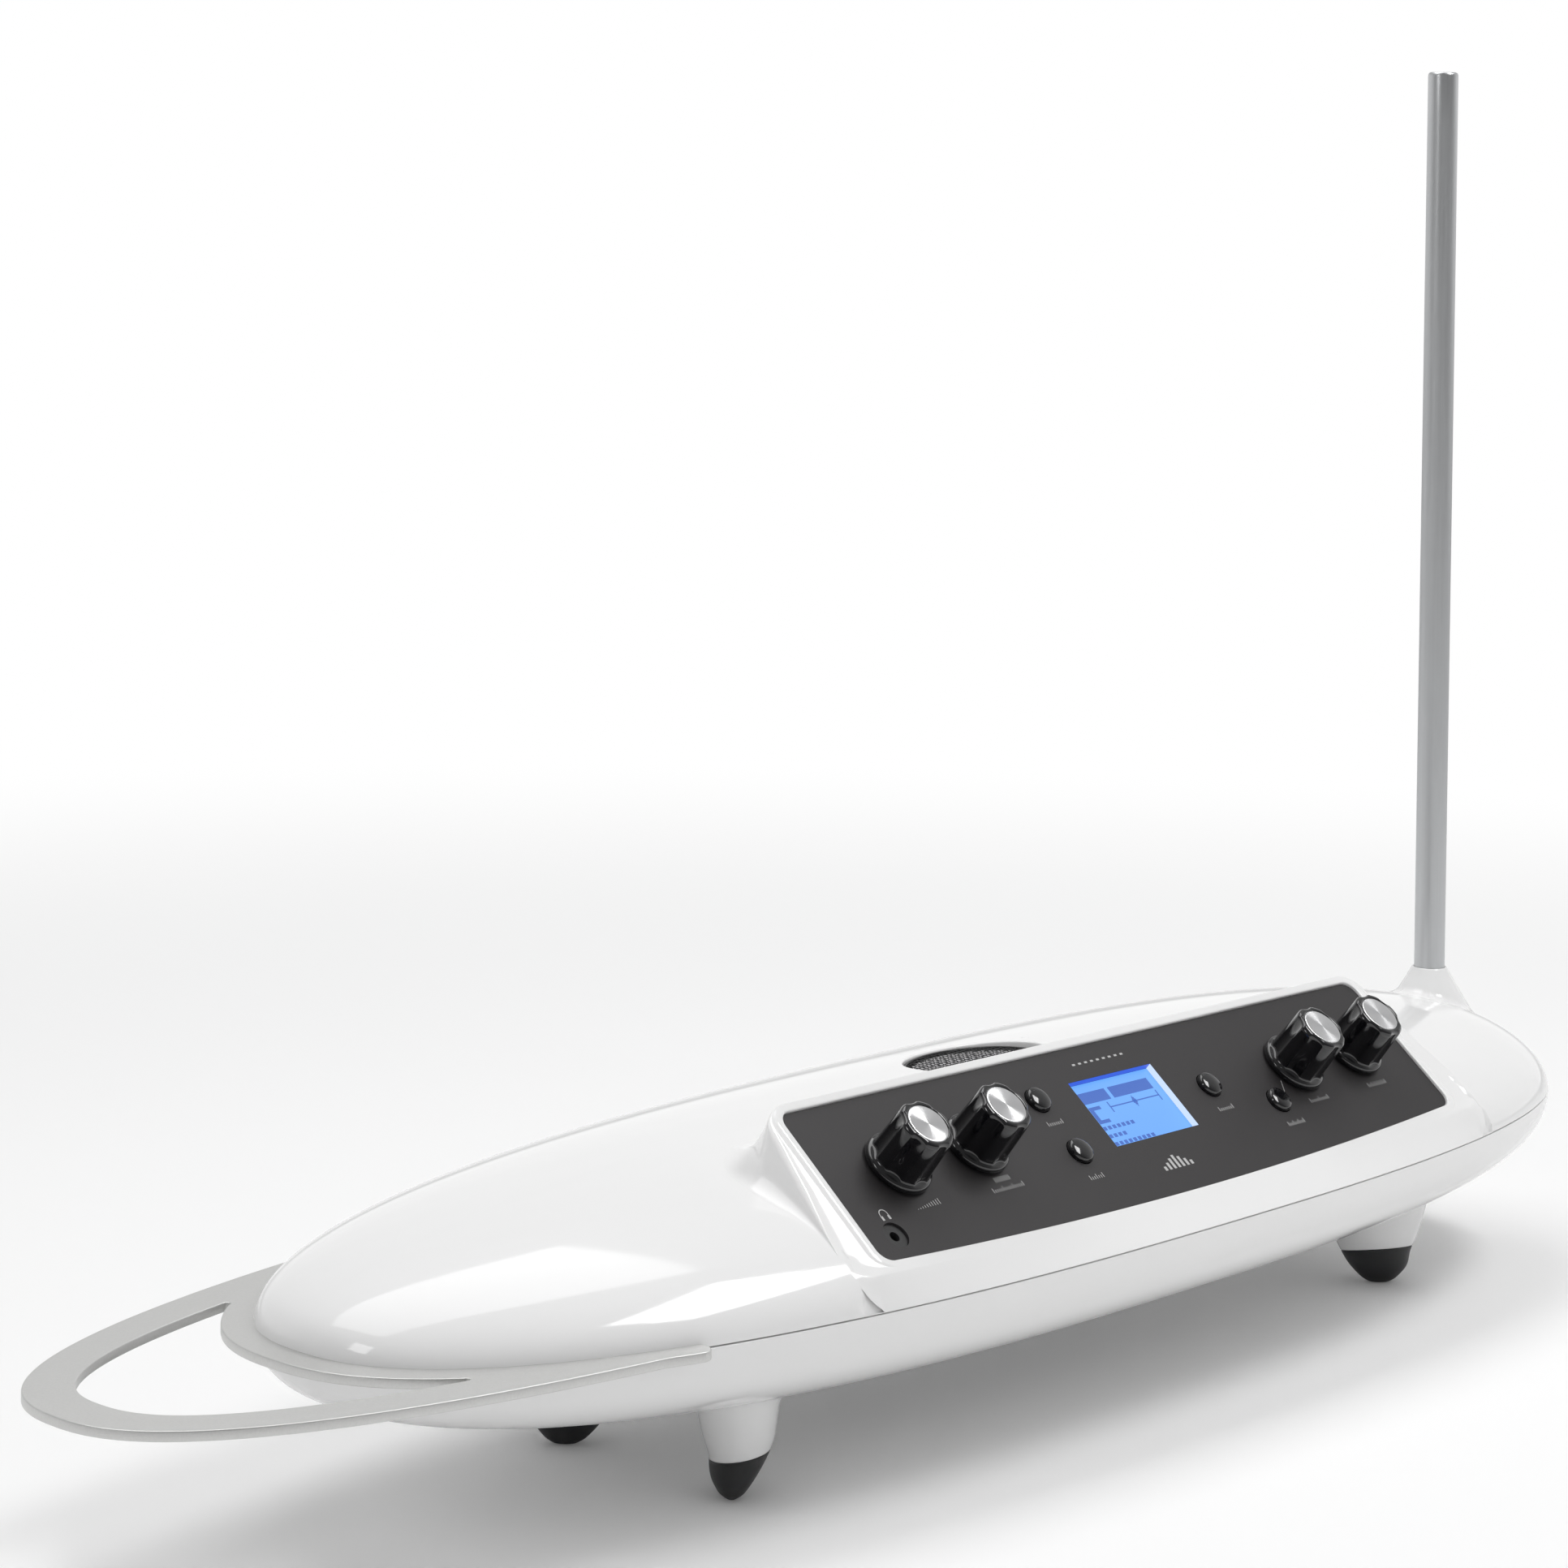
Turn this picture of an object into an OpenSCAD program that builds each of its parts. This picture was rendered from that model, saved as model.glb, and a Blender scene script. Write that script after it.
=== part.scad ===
// Tabletop theremin: a white two-part hull with a flat volume loop clamped in its seam,
// an upright pitch rod and a tilted control panel. Millimetres, +X towards the rod,
// +Y to the back, +Z up, Z = 0 on the table under the rubber feet.

/* [Hull] */
// Length of the hull from its middle to the loop end
hull_left = 325; // [315:1:335]
// Length of the hull from its middle to the rod end
hull_right = 288; // [282:1:300]
// Half of the hull's depth at the seam
hull_half_depth = 96.5; // [94:0.5:100]
// Height of the seam over the table
seam_z = 64.8; // [62:0.2:68]
// Height of the upper half over the seam
upper_rise = 38; // [37:0.5:40]
// Drop of the lower half under the seam
lower_drop = 41; // [39:0.5:42]
// Roundness of the outline seen from above, 2 is an ellipse
plan_round = 2.4; // [2.2:0.05:2.6]
// Roundness of the outline's rod end, which is blunter
plan_round_right = 2.8; // [2.4:0.05:3]
// Roundness of the profile along the hull
long_round = 2.65; // [2.4:0.05:2.8]
// Roundness of the profile's rod end
long_round_right = 3.2; // [2.6:0.05:3.4]
// Roundness of the profile across the hull
cross_round = 2.2; // [2.1:0.05:2.4]
// Roundness of the upper half's front, which is flatter than its back
front_round = 1.85; // [1.8:0.05:2.2]
// Wall of both shells
wall = 3; // [2.5:0.1:3.2]

/* [Control panel] */
// Tilt of the panel from level
panel_tilt = 39.5; // [38:0.5:41]
// Distance of the panel's centre behind the hull's front
panel_setback = 39.4; // [37.5:0.1:40.5]
// Height of the panel centre
panel_z = 95.6; // [95:0.2:98]
// Half of the panel's width
panel_half_w = 158; // [156:0.5:160]
// Half of the panel's height at its ends
panel_half_h = 29.3; // [28.5:0.1:30]
// Bulge of the lower edge in the middle
panel_bulge = 5; // [4:0.5:6]
// Thickness of the panel plate
panel_t = 2.5; // [2:0.1:2.6]
// Radius of the panel's corners
panel_corner = 5; // [3:0.5:7]
// White rim around the panel
rim = 4.5; // [4:0.25:5]
// Height of the rim over the panel
rim_h = 1; // [0.5:0.25:1.5]
// Width of the ledge that carries the panel
ledge = 4; // [3:0.5:4.5]
// How far the bezel's end walls lean out for each unit down
bezel_draft = 0.3; // [0.2:0.02:0.34]
// Where the bezel's back slope meets the hull, behind the origin
bezel_back_y = -14; // [-15:0.5:-13]

/* [Knobs] */
// Distance of the volume knob left of the middle
volume_u = -124.8; // [-126:0.2:-123]
// Distance of the pitch correction knob left of the middle
correction_u = -85.8; // [-87:0.2:-84]
// Distance of the amount knob right of the middle
amount_u = 91.9; // [90.5:0.2:93.5]
// Distance of the presets knob right of the middle
presets_u = 128.7; // [127:0.1:130]
// Height of the knobs over the panel's middle line
knob_v = 1.7; // [0.5:0.1:3]
// Radius of the knob's skirt
knob_skirt_r = 11.9; // [11.3:0.1:12.3]
// Radius of the fluted grip
knob_grip_r = 10.2; // [9.8:0.1:10.5]
// Height of the knob's top over the panel
knob_top = 20.9; // [19.5:0.1:21.5]
// Thickness of the skirt
knob_skirt_h = 2.6; // [2:0.1:3]
// Depth of the six grip flutes
flute_depth = 1; // [0.5:0.1:1.2]
// Radius of the cutter that makes a flute
flute_r = 7; // [6:0.25:8]
// Radius of the metal disc in the top
disc_r = 7.35; // [7:0.05:7.6]
// Thickness of the metal disc
disc_t = 0.8; // [0.6:0.1:1]
// Radius of the potentiometer shafts
shaft_r = 3; // [2.8:0.1:3.1]
// Radius of the threaded bushings
bushing_r = 3.8; // [3.7:0.1:4.2]

/* [Buttons] */
// Radius of the push buttons
button_r = 4.8; // [4.5:0.1:5]
// Height of the button's side over the panel
button_side = 1.4; // [1:0.1:1.6]
// Height of the button's dome
button_dome = 1.2; // [0.9:0.1:1.4]
// Travel of the push buttons
button_travel = 1; // [0.6:0.1:1.2]
// Radius of a button's retaining flange
button_flange_r = 5.8; // [5.6:0.1:6]

/* [Display] */
// Width of the display window
window_w = 45.8; // [44:0.2:48]
// Height of the display window
window_h = 27.5; // [26:0.5:29]
// Height of the window's middle over the panel's middle line
window_v = 2.3; // [1.5:0.1:3]
// Thickness of the clear window
lens_t = 1.2; // [1:0.1:1.5]
// Thickness of the display module
display_t = 5; // [4:0.5:5.5]

/* [Speaker] */
// Half of the grille's length
grille_a = 32; // [30:0.5:33]
// Half of the grille's depth
grille_b = 20; // [19:0.5:21]
// Distance of the grille behind the origin
grille_y = 14; // [13:0.5:15]
// Thickness of the grille plate
grille_t = 1.2; // [1:0.1:1.6]
// Opening of one grille mesh
mesh_open = 2.2; // [1.8:0.1:2.6]
// Pitch of the grille mesh
mesh_pitch = 4; // [3.6:0.1:4.4]

/* [Pitch rod] */
// Distance of the rod right of the middle
rod_x = 266.5; // [262:0.5:268]
// Radius of the rod
rod_r = 6; // [5.5:0.25:6.5]
// Height of the rod over its white cone
rod_h = 356; // [300:1:420]
// Height of the cone's top
cone_top_z = 101.5; // [100:0.5:103]
// Length of the rod inside its socket
rod_seat = 29; // [27:0.5:31]

/* [Volume loop] */
// Thickness of the loop plate
loop_t = 3; // [2.5:0.1:3.2]
// Reach of the plate beyond the middle, at the left tip
loop_tip = 413.4; // [410:0.5:416]
// Half of the loop's depth
loop_half_depth = 88.3; // [86:0.5:89]
// Middle of the loop's outline, left of the origin
loop_mid = 38.2; // [36:0.5:40]
// Width of the band at the left tip
loop_band = 16; // [15:0.5:17]
// Width of the strip that hugs the hull
loop_strip = 10.5; // [10:0.5:11]
// Right end of the plate, left of the origin
loop_end = 234; // [230:1:238]

/* [Feet] */
// Distance of the feet from the middle, along
foot_x = 177; // [175:0.5:180]
// Distance of the feet from the middle, across
foot_y = 36.6; // [35.5:0.1:38]
// Height of the white legs' lower end
leg_low_z = 13; // [12:0.5:14]
// Height of the joint between the legs and the lower shell
leg_top_z = 23; // [22:0.5:24]

/* [Connections] */
// Radius of a headphone plug's socket
phones_r = 1.8; // [1.78:0.01:1.85]
// Radius of the output and control sockets
output_r = 3.2; // [3.19:0.01:3.25]
// Radius of the stand thread
stand_r = 4.76; // [4.5:0.01:5]
// Depth of the stand thread
stand_depth = 12; // [10:0.5:12]
// Travel of the power button
power_travel = 2; // [1.5:0.1:2.2]

/* [Hidden] */
$fn = 48;

// The origin lies on the table under the middle of the whole length, loop included.
// The modules are drawn from the hull's middle, which lies this far to the right of it.
middle_x = (loop_tip - hull_right) / 2;
panel_y = panel_setback - hull_half_depth;
module placed() {
  translate([middle_x, 0, 0])
    children();
}

// Shared clearances
fit_gap = 0.05;      // running fit of shafts, screws and sleeves
seat_gap = 0.15;     // a plate in its recess
slide_gap = 0.25;    // a cap in its hole
knob_gap = 0.6;      // under a knob's skirt
white = "#f4f4f3";
black = "#161618";
steel = "#b9bcc0";
board_green = "#1f6b45";

// Hull shape: half the depth and the height at a place along it
columns = 26;
rows = 14;
function reach(x, grow) = (x < 0 ? hull_left : hull_right) + grow;
function share(x, grow) = min(abs(x) / reach(x, grow), 1);
function half_depth(x, grow) =
  let (n = x < 0 ? plan_round : plan_round_right)
  (hull_half_depth + grow) * pow(1 - pow(share(x, grow), n), 1 / n);
function half_rise(x, rise, grow) =
  let (n = x < 0 ? long_round : long_round_right)
  (rise + grow) * pow(1 - pow(share(x, grow), n), 1 / n);
function station(i, grow) =
  let (c = -cos(180 * i / columns)) c * (c < 0 ? hull_left + grow : hull_right + grow);
function signed_pow(v, e) = sign(v) * pow(abs(v), e);

// One half of the hull as a closed solid that stands on the seam plane
module half_hull(rise, grow, front) {
  function roundness(j) = j < rows / 2 ? front : cross_round;
  function arc_y(j) = signed_pow(sin(-90 + 180 * j / rows), 2 / roundness(j));
  function arc_z(j) = pow(cos(-90 + 180 * j / rows), 2 / roundness(j));
  rings = columns - 1;
  pts = concat(
    [for (i = [1 : rings], j = [0 : rows])
      let (x = station(i, grow))
      [x, half_depth(x, grow) * arc_y(j),
       j == 0 || j == rows ? 0 : half_rise(x, rise, grow) * arc_z(j)]],
    [[-hull_left - grow, 0, 0], [hull_right + grow, 0, 0]]);
  function id(i, j) = i * (rows + 1) + j;
  first = rings * (rows + 1);
  skin = [for (i = [0 : rings - 2], j = [0 : rows - 1])
    each [[id(i, j), id(i, j + 1), id(i + 1, j + 1)], [id(i, j), id(i + 1, j + 1), id(i + 1, j)]]];
  ends = concat(
    [for (j = [0 : rows - 1]) [first, id(0, j + 1), id(0, j)]],
    [for (j = [0 : rows - 1]) [first + 1, id(rings - 1, j), id(rings - 1, j + 1)]]);
  base = [concat([first], [for (i = [0 : rings - 1]) id(i, 0)], [first + 1],
    [for (i = [rings - 1 : -1 : 0]) id(i, rows)])];
  polyhedron(points = pts, faces = concat(skin, ends, base), convexity = 6);
}

// Outline of the hull at the seam
module plan_shape(grow) {
  near = [for (i = [0 : columns]) let (x = station(i, grow)) [x, -half_depth(x, grow)]];
  polygon(concat(near, [for (i = [columns - 1 : -1 : 1]) [near[i][0], -near[i][1]]]));
}

module upper_solid(grow) {
  translate([0, 0, seam_z])
    half_hull(upper_rise, grow, front_round);
}

module lower_solid(grow) {
  translate([0, 0, seam_z])
    mirror([0, 0, 1])
      half_hull(lower_drop, grow, cross_round);
}

// Panel frame: u along the panel, v up its slope, w out of its face
module on_panel(u = 0, v = 0, w = 0) {
  translate([0, panel_y, panel_z])
    rotate([panel_tilt, 0, 0])
      translate([u, v, w])
        children();
}

function panel_yz(v, w) = [
  panel_y + v * cos(panel_tilt) - w * sin(panel_tilt),
  panel_z + v * sin(panel_tilt) + w * cos(panel_tilt)];

// Lower edge of the panel: an arc through its two ends and the bulge
arc_r = (pow(panel_half_w, 2) + pow(panel_bulge, 2)) / (2 * panel_bulge);
function low_edge(u) =
  -panel_half_h - panel_bulge + arc_r - sqrt(pow(arc_r, 2) - pow(u, 2));

// Panel outline with rounded corners, grown by an amount
module panel_outline(grow) {
  r = max(panel_corner + grow, 1);
  w = panel_half_w + grow;
  top = panel_half_h + grow;
  steps = 6;
  arc_steps = 20;
  low = [for (i = [0 : arc_steps])
    let (u = -w + r + (2 * w - 2 * r) * i / arc_steps) [u, low_edge(u) - grow]];
  low_side = low[0][1] + r;
  function corner(cx, cy, from) =
    [for (k = [0 : steps]) [cx + r * cos(from + 90 * k / steps), cy + r * sin(from + 90 * k / steps)]];
  polygon(concat(
    low,
    [for (p = corner(w - r, low_side, -90)) if (p[1] > low[0][1] + 0.01) p],
    corner(w - r, top - r, 0),
    corner(-w + r, top - r, 90),
    [for (p = corner(-w + r, low_side, 180)) if (p[1] > low[0][1] + 0.01) p]));
}

// A solid lofted along X between the bezel's leaning end walls. Each section is a list of
// [y, z] points from the front round the top to the back.
bezel_top_z = panel_yz(panel_half_h + rim, rim_h)[1];
function bezel_half(z, grow) =
  panel_half_w + rim + grow + (bezel_top_z - z) * bezel_draft;
loft_steps = 16;
module loft(sections, grow) {
  count = len(sections[0]);
  pts = [for (k = [0 : loft_steps], p = sections[k])
    [(2 * k / loft_steps - 1) * bezel_half(p[1], grow), p[0], p[1]]];
  function id(k, m) = k * count + (m % count);
  side = [for (k = [0 : loft_steps - 1], m = [0 : count - 1])
    each [[id(k, m), id(k, m + 1), id(k + 1, m + 1)], [id(k, m), id(k + 1, m + 1), id(k + 1, m)]]];
  caps = [
    [for (m = [count - 1 : -1 : 0]) id(0, m)],
    [for (m = [0 : count - 1]) id(loft_steps, m)]];
  polyhedron(points = pts, faces = concat(side, caps), convexity = 4);
}

function loft_u(k) = (2 * k / loft_steps - 1) * panel_half_w;
bezel_inner_w = -panel_t - wall;
bezel_foot_z = seam_z + upper_rise - 9;

// Outside of the bezel, from the seam up to the rim and down its back slope
module bezel_outer() {
  loft([for (k = [0 : loft_steps]) let (u = loft_u(k)) [
    [-half_depth(u * bezel_half(seam_z, 0) / panel_half_w, 0) + 0.2, seam_z],
    panel_yz(low_edge(u) - rim, rim_h),
    panel_yz(panel_half_h + rim, rim_h),
    [bezel_back_y, bezel_foot_z],
    [bezel_back_y, seam_z]
  ]], 0);
}

// Room inside the bezel, open at the seam
module bezel_inner() {
  back = bezel_back_y - wall * 1.25;
  loft([for (k = [0 : loft_steps]) let (u = loft_u(k)) [
    [-half_depth(u * bezel_half(seam_z, 0) / panel_half_w, 0) + wall, seam_z - 1],
    panel_yz(low_edge(u) - rim + wall, bezel_inner_w),
    panel_yz(panel_half_h + rim - wall, bezel_inner_w),
    [back, bezel_foot_z],
    [back, seam_z - 1]
  ]], -wall);
}

// Everything in front of the rim's face, which the hull's crown would fill
module bezel_clear() {
  far = 45;
  loft([for (k = [0 : loft_steps]) [
    panel_yz(panel_half_h + rim, rim_h + far),
    panel_yz(panel_half_h + rim, rim_h),
    panel_yz(-panel_half_h - far, rim_h),
    panel_yz(-panel_half_h - far, rim_h + far)
  ]], 0);
}

module ellipse_prism(a, b, h) {
  steps = 36;
  linear_extrude(h)
    polygon([for (k = [0 : steps - 1]) [a * cos(360 * k / steps), b * sin(360 * k / steps)]]);
}

// Shell screws: four at the ends and two at the back
end_screw_x = 222;
end_screw_y = 38;
back_screw_x = 114;
back_screw_y = 60;
shell_screw_places = concat(
  [for (sx = [-1, 1], sy = [-1, 1]) [sx * end_screw_x, sy * end_screw_y]],
  [for (sx = [-1, 1]) [sx * back_screw_x, back_screw_y]]);
screw_r = 1.5;
screw_head_r = 2.8;
screw_head_h = 2;
shell_screw_top = seam_z + 12;
shell_screw_head_z = seam_z - 16;
post_r = 5.5;

// Rod cone on the upper shell: a flared foot that narrows to the rod
cone_lip = 0.7;
socket_r = 8;
socket_low_z = cone_top_z - rod_seat - 2;
socket_top_z = cone_top_z - 10;
cone_root_z = seam_z + 16;
module rod_cone() {
  top_r = rod_r + fit_gap + cone_lip;
  foot_r = 19.2;
  height = cone_top_z - cone_root_z;
  steps = 8;
  profile = [for (k = [0 : steps])
    [top_r + (foot_r - top_r) * pow(1 - k / steps, 1.05), cone_root_z + height * k / steps]];
  translate([rod_x, 0, 0])
    rotate_extrude()
      polygon(concat([[0, cone_root_z]], profile, [[0, cone_top_z]]));
}

// Speaker seat under the crown of the hull
grille_top_z = seam_z + upper_rise - 2.4;
grille_low_z = grille_top_z - grille_t;
cloth_t = 0.6;
speaker_seat_z = grille_low_z - cloth_t - 3.2;
grille_ledge = 2.5;
speaker_flange = 3.5;

module upper_shell() {
  color(white)
    difference() {
      union() {
        difference() {
          union() {
            upper_solid(0);
            bezel_outer();
            rod_cone();
          }
          bezel_clear();
          upper_solid(-wall);
          translate([0, 0, seam_z - 1])
            linear_extrude(1.01)
              plan_shape(-wall);
          bezel_inner();
        }
        intersection() {
          upper_solid(-wall / 2);
          union() {
            for (p = shell_screw_places)
              translate([p[0], p[1], seam_z + 0.1])
                cylinder(r = post_r - 1, h = upper_rise);
            translate([0, grille_y, speaker_seat_z])
              ellipse_prism(grille_a + speaker_flange, grille_b + speaker_flange, 12);
            translate([rod_x, 0, socket_low_z + 6])
              cylinder(r = socket_r + wall, h = 20);
          }
        }
      }
      on_panel(0, 0, -panel_t)
        linear_extrude(10)
          panel_outline(seat_gap);
      on_panel(0, 0, bezel_inner_w - 1)
        linear_extrude(10)
          panel_outline(-ledge);
      translate([0, grille_y, grille_low_z])
        ellipse_prism(grille_a + seat_gap, grille_b + seat_gap, 10);
      translate([0, grille_y, speaker_seat_z - 1])
        ellipse_prism(grille_a - grille_ledge, grille_b - grille_ledge, 12);
      translate([rod_x, 0, socket_low_z])
        cylinder(r = socket_r + fit_gap, h = socket_top_z - socket_low_z);
      translate([rod_x, 0, socket_low_z])
        cylinder(r = rod_r + fit_gap, h = rod_seat + 10);
      for (p = shell_screw_places)
        translate([p[0], p[1], seam_z - 1])
          cylinder(r = screw_r + fit_gap, h = shell_screw_top - seam_z + 2);
      loop_pocket();
    }
}

// Rear recess with the connectors
rear_half_w = 86;
rear_plate_y = 70;
rear_low_z = 39.6;
rear_top_z = seam_z - wall;
rear_axis_z = 51.5;
rear_window_half = 78;
board_z = 40;
board_t = 1.6;
board_half_w = 98;
board_front_y = -19;
board_back_y = 64;
board_post_r = 4;
board_post_x = board_half_w - 8;
board_post_ys = [-12, 48];
leg_screw_r = 2;
leg_screw_top = leg_top_z + 11;
stand_boss_r = 11;
insert_r = 8;
insert_low_z = seam_z - lower_drop + 0.4;

// A leg's outline: an upright tapered fin that points outwards
// Half axes of the leg's oval where it meets the tip, at its joint and in the hull
leg_low_a = 13.4;
leg_low_b = 9.4;
leg_top_a = 17;
leg_top_b = 12.2;
leg_root_a = 20.5;
leg_root_b = 14.6;
module fin(low_a, low_b, low_z, top_a, top_b, top_z) {
  hull() {
    translate([0, 0, low_z])
      ellipse_prism(low_a, low_b, 0.01);
    translate([0, 0, top_z - 0.01])
      ellipse_prism(top_a, top_b, 0.01);
  }
}

module at_feet() {
  for (sx = [-1, 1], sy = [-1, 1])
    translate([sx * foot_x, sy * foot_y, 0])
      rotate([0, 0, sx * sy * 45])
        children();
}

module lower_shell() {
  color(white)
    difference() {
      union() {
        difference() {
          union() {
            lower_solid(0);
            at_feet()
              fin(leg_top_a, leg_top_b, leg_top_z, leg_root_a, leg_root_b, leg_top_z + 16);
          }
          lower_solid(-wall);
          translate([0, 0, seam_z - 0.01])
            linear_extrude(1.01)
              plan_shape(-wall);
        }
        intersection() {
          lower_solid(-wall / 2);
          union() {
            for (p = shell_screw_places)
              translate([p[0], p[1], 0])
                cylinder(r = post_r, h = seam_z - 0.1);
            for (sx = [-1, 1], y = board_post_ys)
              translate([sx * board_post_x, y, 0])
                cylinder(r = board_post_r, h = board_z);
            at_feet()
              translate([0, 0, leg_top_z])
                cylinder(r = 6, h = 16);
            cylinder(r = stand_boss_r, h = insert_low_z + stand_depth + 1.4);
            translate([-loop_screw_x - loop_tab, -loop_screw_y - loop_tab, 0])
              cube([2 * loop_tab, 2 * (loop_screw_y + loop_tab), seam_z - loop_t / 2 - 0.1]);
          }
        }
        intersection() {
          lower_solid(0);
          translate([-rear_half_w - wall, rear_plate_y - wall, rear_low_z - wall])
            cube([2 * (rear_half_w + wall), 60, rear_top_z - rear_low_z + 2 * wall - 0.1]);
        }
      }
      translate([-rear_half_w, rear_plate_y, rear_low_z])
        cube([2 * rear_half_w, 60, rear_top_z - rear_low_z]);
      translate([-rear_window_half, rear_plate_y - wall - 1, rear_low_z + 0.6])
        cube([2 * rear_window_half, wall + 2, rear_top_z - rear_low_z - 2.6]);
      for (sx = [-1, 1])
        translate([sx * rear_screw_x, rear_plate_y - wall - 1, rear_axis_z])
          rotate([-90, 0, 0])
            cylinder(r = screw_r + fit_gap, h = wall + 2);
      for (p = shell_screw_places) {
        translate([p[0], p[1], 0])
          cylinder(r = screw_r + fit_gap, h = seam_z + 1);
        translate([p[0], p[1], 0])
          cylinder(r = screw_head_r + 0.3, h = shell_screw_head_z);
      }
      for (sx = [-1, 1], y = board_post_ys)
        translate([sx * board_post_x, y, board_z - 7])
          cylinder(r = screw_r + fit_gap, h = 10);
      for (sx = [-1, 1], sy = [-1, 1])
        translate([sx * foot_x, sy * foot_y, leg_top_z - 1])
          cylinder(r = leg_screw_r + fit_gap, h = leg_screw_top - leg_top_z + 1.4);
      translate([0, 0, insert_low_z - 5])
        cylinder(r = insert_r + fit_gap, h = stand_depth + 5);
      for (sy = [-1, 1])
        translate([-loop_screw_x, sy * loop_screw_y, seam_z - 12])
          cylinder(r = screw_r + fit_gap, h = 14);
      loop_pocket();
    }
}

module control_panel() {
  color(black)
    difference() {
      on_panel(0, 0, -panel_t)
        linear_extrude(panel_t)
          panel_outline(0);
      for (u = knob_us)
        on_panel(u, knob_v, -panel_t - 1)
          cylinder(r = bushing_r + fit_gap, h = panel_t + 2);
      for (p = button_places)
        on_panel(p[0], p[1], -panel_t - 1)
          cylinder(r = button_r + slide_gap, h = panel_t + 2);
      on_panel(-window_w / 2, window_v - window_h / 2, -panel_t - 1)
        cube([window_w, window_h, panel_t + 2]);
      on_panel(phones_u, phones_v, -panel_t - 1)
        cylinder(r = phones_nose_r + fit_gap, h = panel_t + 2);
    }
}

// Volume loop: one flat plate, clamped in the seam
loop_out_r = loop_tip - loop_mid;
loop_grip = 9;
loop_screw_x = 297;
loop_screw_y = 9;
loop_tab = 7;        // metal around each loop screw
loop_end_r = 5;      // rounding of the plate's two ends
beyond = 800;        // a cut that reaches past everything
module super_shape(mid, a, b, n) {
  steps = 64;
  polygon([for (k = [0 : steps - 1])
    let (t = 360 * k / steps)
    [mid + a * signed_pow(cos(t), 2 / n), b * signed_pow(sin(t), 2 / n)]]);
}

module loop_shape() {
  strip_b = hull_half_depth + loop_strip * 0.75;
  end_y = strip_b * pow(1 - pow(loop_end / (hull_left + loop_strip), plan_round), 1 / plan_round);
  difference() {
    union() {
      super_shape(-loop_mid, loop_out_r, loop_half_depth, plan_round);
      super_shape(0, hull_left + loop_strip, strip_b, plan_round);
    }
    translate([-loop_end, -beyond / 2])
      square([beyond, beyond]);
    for (side = [0, 1])
      mirror([0, side])
        translate([-loop_end - loop_end_r, end_y - loop_end_r])
          difference() {
            square([beyond, beyond]);
            circle(r = loop_end_r);
          }
    difference() {
      super_shape(-loop_mid, loop_out_r - loop_band, loop_half_depth - loop_band, plan_round);
      super_shape(0, hull_left + loop_strip, strip_b, plan_round);
    }
    difference() {
      super_shape(0, hull_left - loop_grip, hull_half_depth - loop_grip, plan_round);
      translate([-hull_left, -loop_screw_y - loop_tab])
        square([hull_left - loop_screw_x + loop_tab, 2 * (loop_screw_y + loop_tab)]);
    }
  }
}

module volume_loop() {
  color(steel)
    difference() {
      translate([0, 0, seam_z - loop_t / 2])
        linear_extrude(loop_t)
          loop_shape();
      for (sy = [-1, 1])
        translate([-loop_screw_x, sy * loop_screw_y, seam_z - loop_t])
          cylinder(r = screw_r + fit_gap, h = 2 * loop_t);
    }
}

// Room for the plate between the two shells
module loop_pocket() {
  margin = 0.2;
  translate([0, 0, seam_z - loop_t / 2])
    linear_extrude(loop_t)
      difference() {
        super_shape(0, hull_left + 30, hull_half_depth + 30, plan_round);
        super_shape(0, hull_left - loop_grip - margin, hull_half_depth - loop_grip - margin, plan_round);
        translate([-loop_end + margin, -beyond / 2])
          square([beyond, beyond]);
      }
  tab_w = 2 * (loop_screw_y + loop_tab + margin);
  translate([-hull_left + loop_grip / 2, -tab_w / 2, seam_z - loop_t / 2])
    cube([hull_left - loop_screw_x + loop_tab + margin - loop_grip / 2, tab_w, loop_t]);
}

module loop_screws() {
  color("silver")
    for (sy = [-1, 1])
      translate([-loop_screw_x, sy * loop_screw_y, 0]) {
        translate([0, 0, seam_z - 9])
          cylinder(r = screw_r, h = 9 + loop_t / 2);
        translate([0, 0, seam_z + loop_t / 2])
          cylinder(r = screw_head_r, h = screw_head_h);
      }
}

// Pitch rod and its socket
rod_low_z = cone_top_z - rod_seat;
module pitch_rod() {
  edge = 1;
  color(steel)
    translate([rod_x, 0, 0])
      rotate_extrude()
        polygon([
          [0, rod_low_z], [rod_r - edge, rod_low_z], [rod_r, rod_low_z + edge],
          [rod_r, cone_top_z + rod_h - edge], [rod_r - edge, cone_top_z + rod_h],
          [0, cone_top_z + rod_h]]);
}

module rod_socket() {
  color("gold")
    translate([rod_x, 0, 0])
      difference() {
        translate([0, 0, socket_low_z])
          cylinder(r = socket_r, h = socket_top_z - socket_low_z);
        translate([0, 0, rod_low_z])
          cylinder(r = rod_r + fit_gap, h = 60);
      }
}

module socket_nut() {
  color("gold")
    translate([rod_x, 0, socket_low_z - 3.4]) {
      cylinder(r = 9, h = 2.2, $fn = 6);
      cylinder(r = 3, h = 3.4);
    }
}

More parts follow.
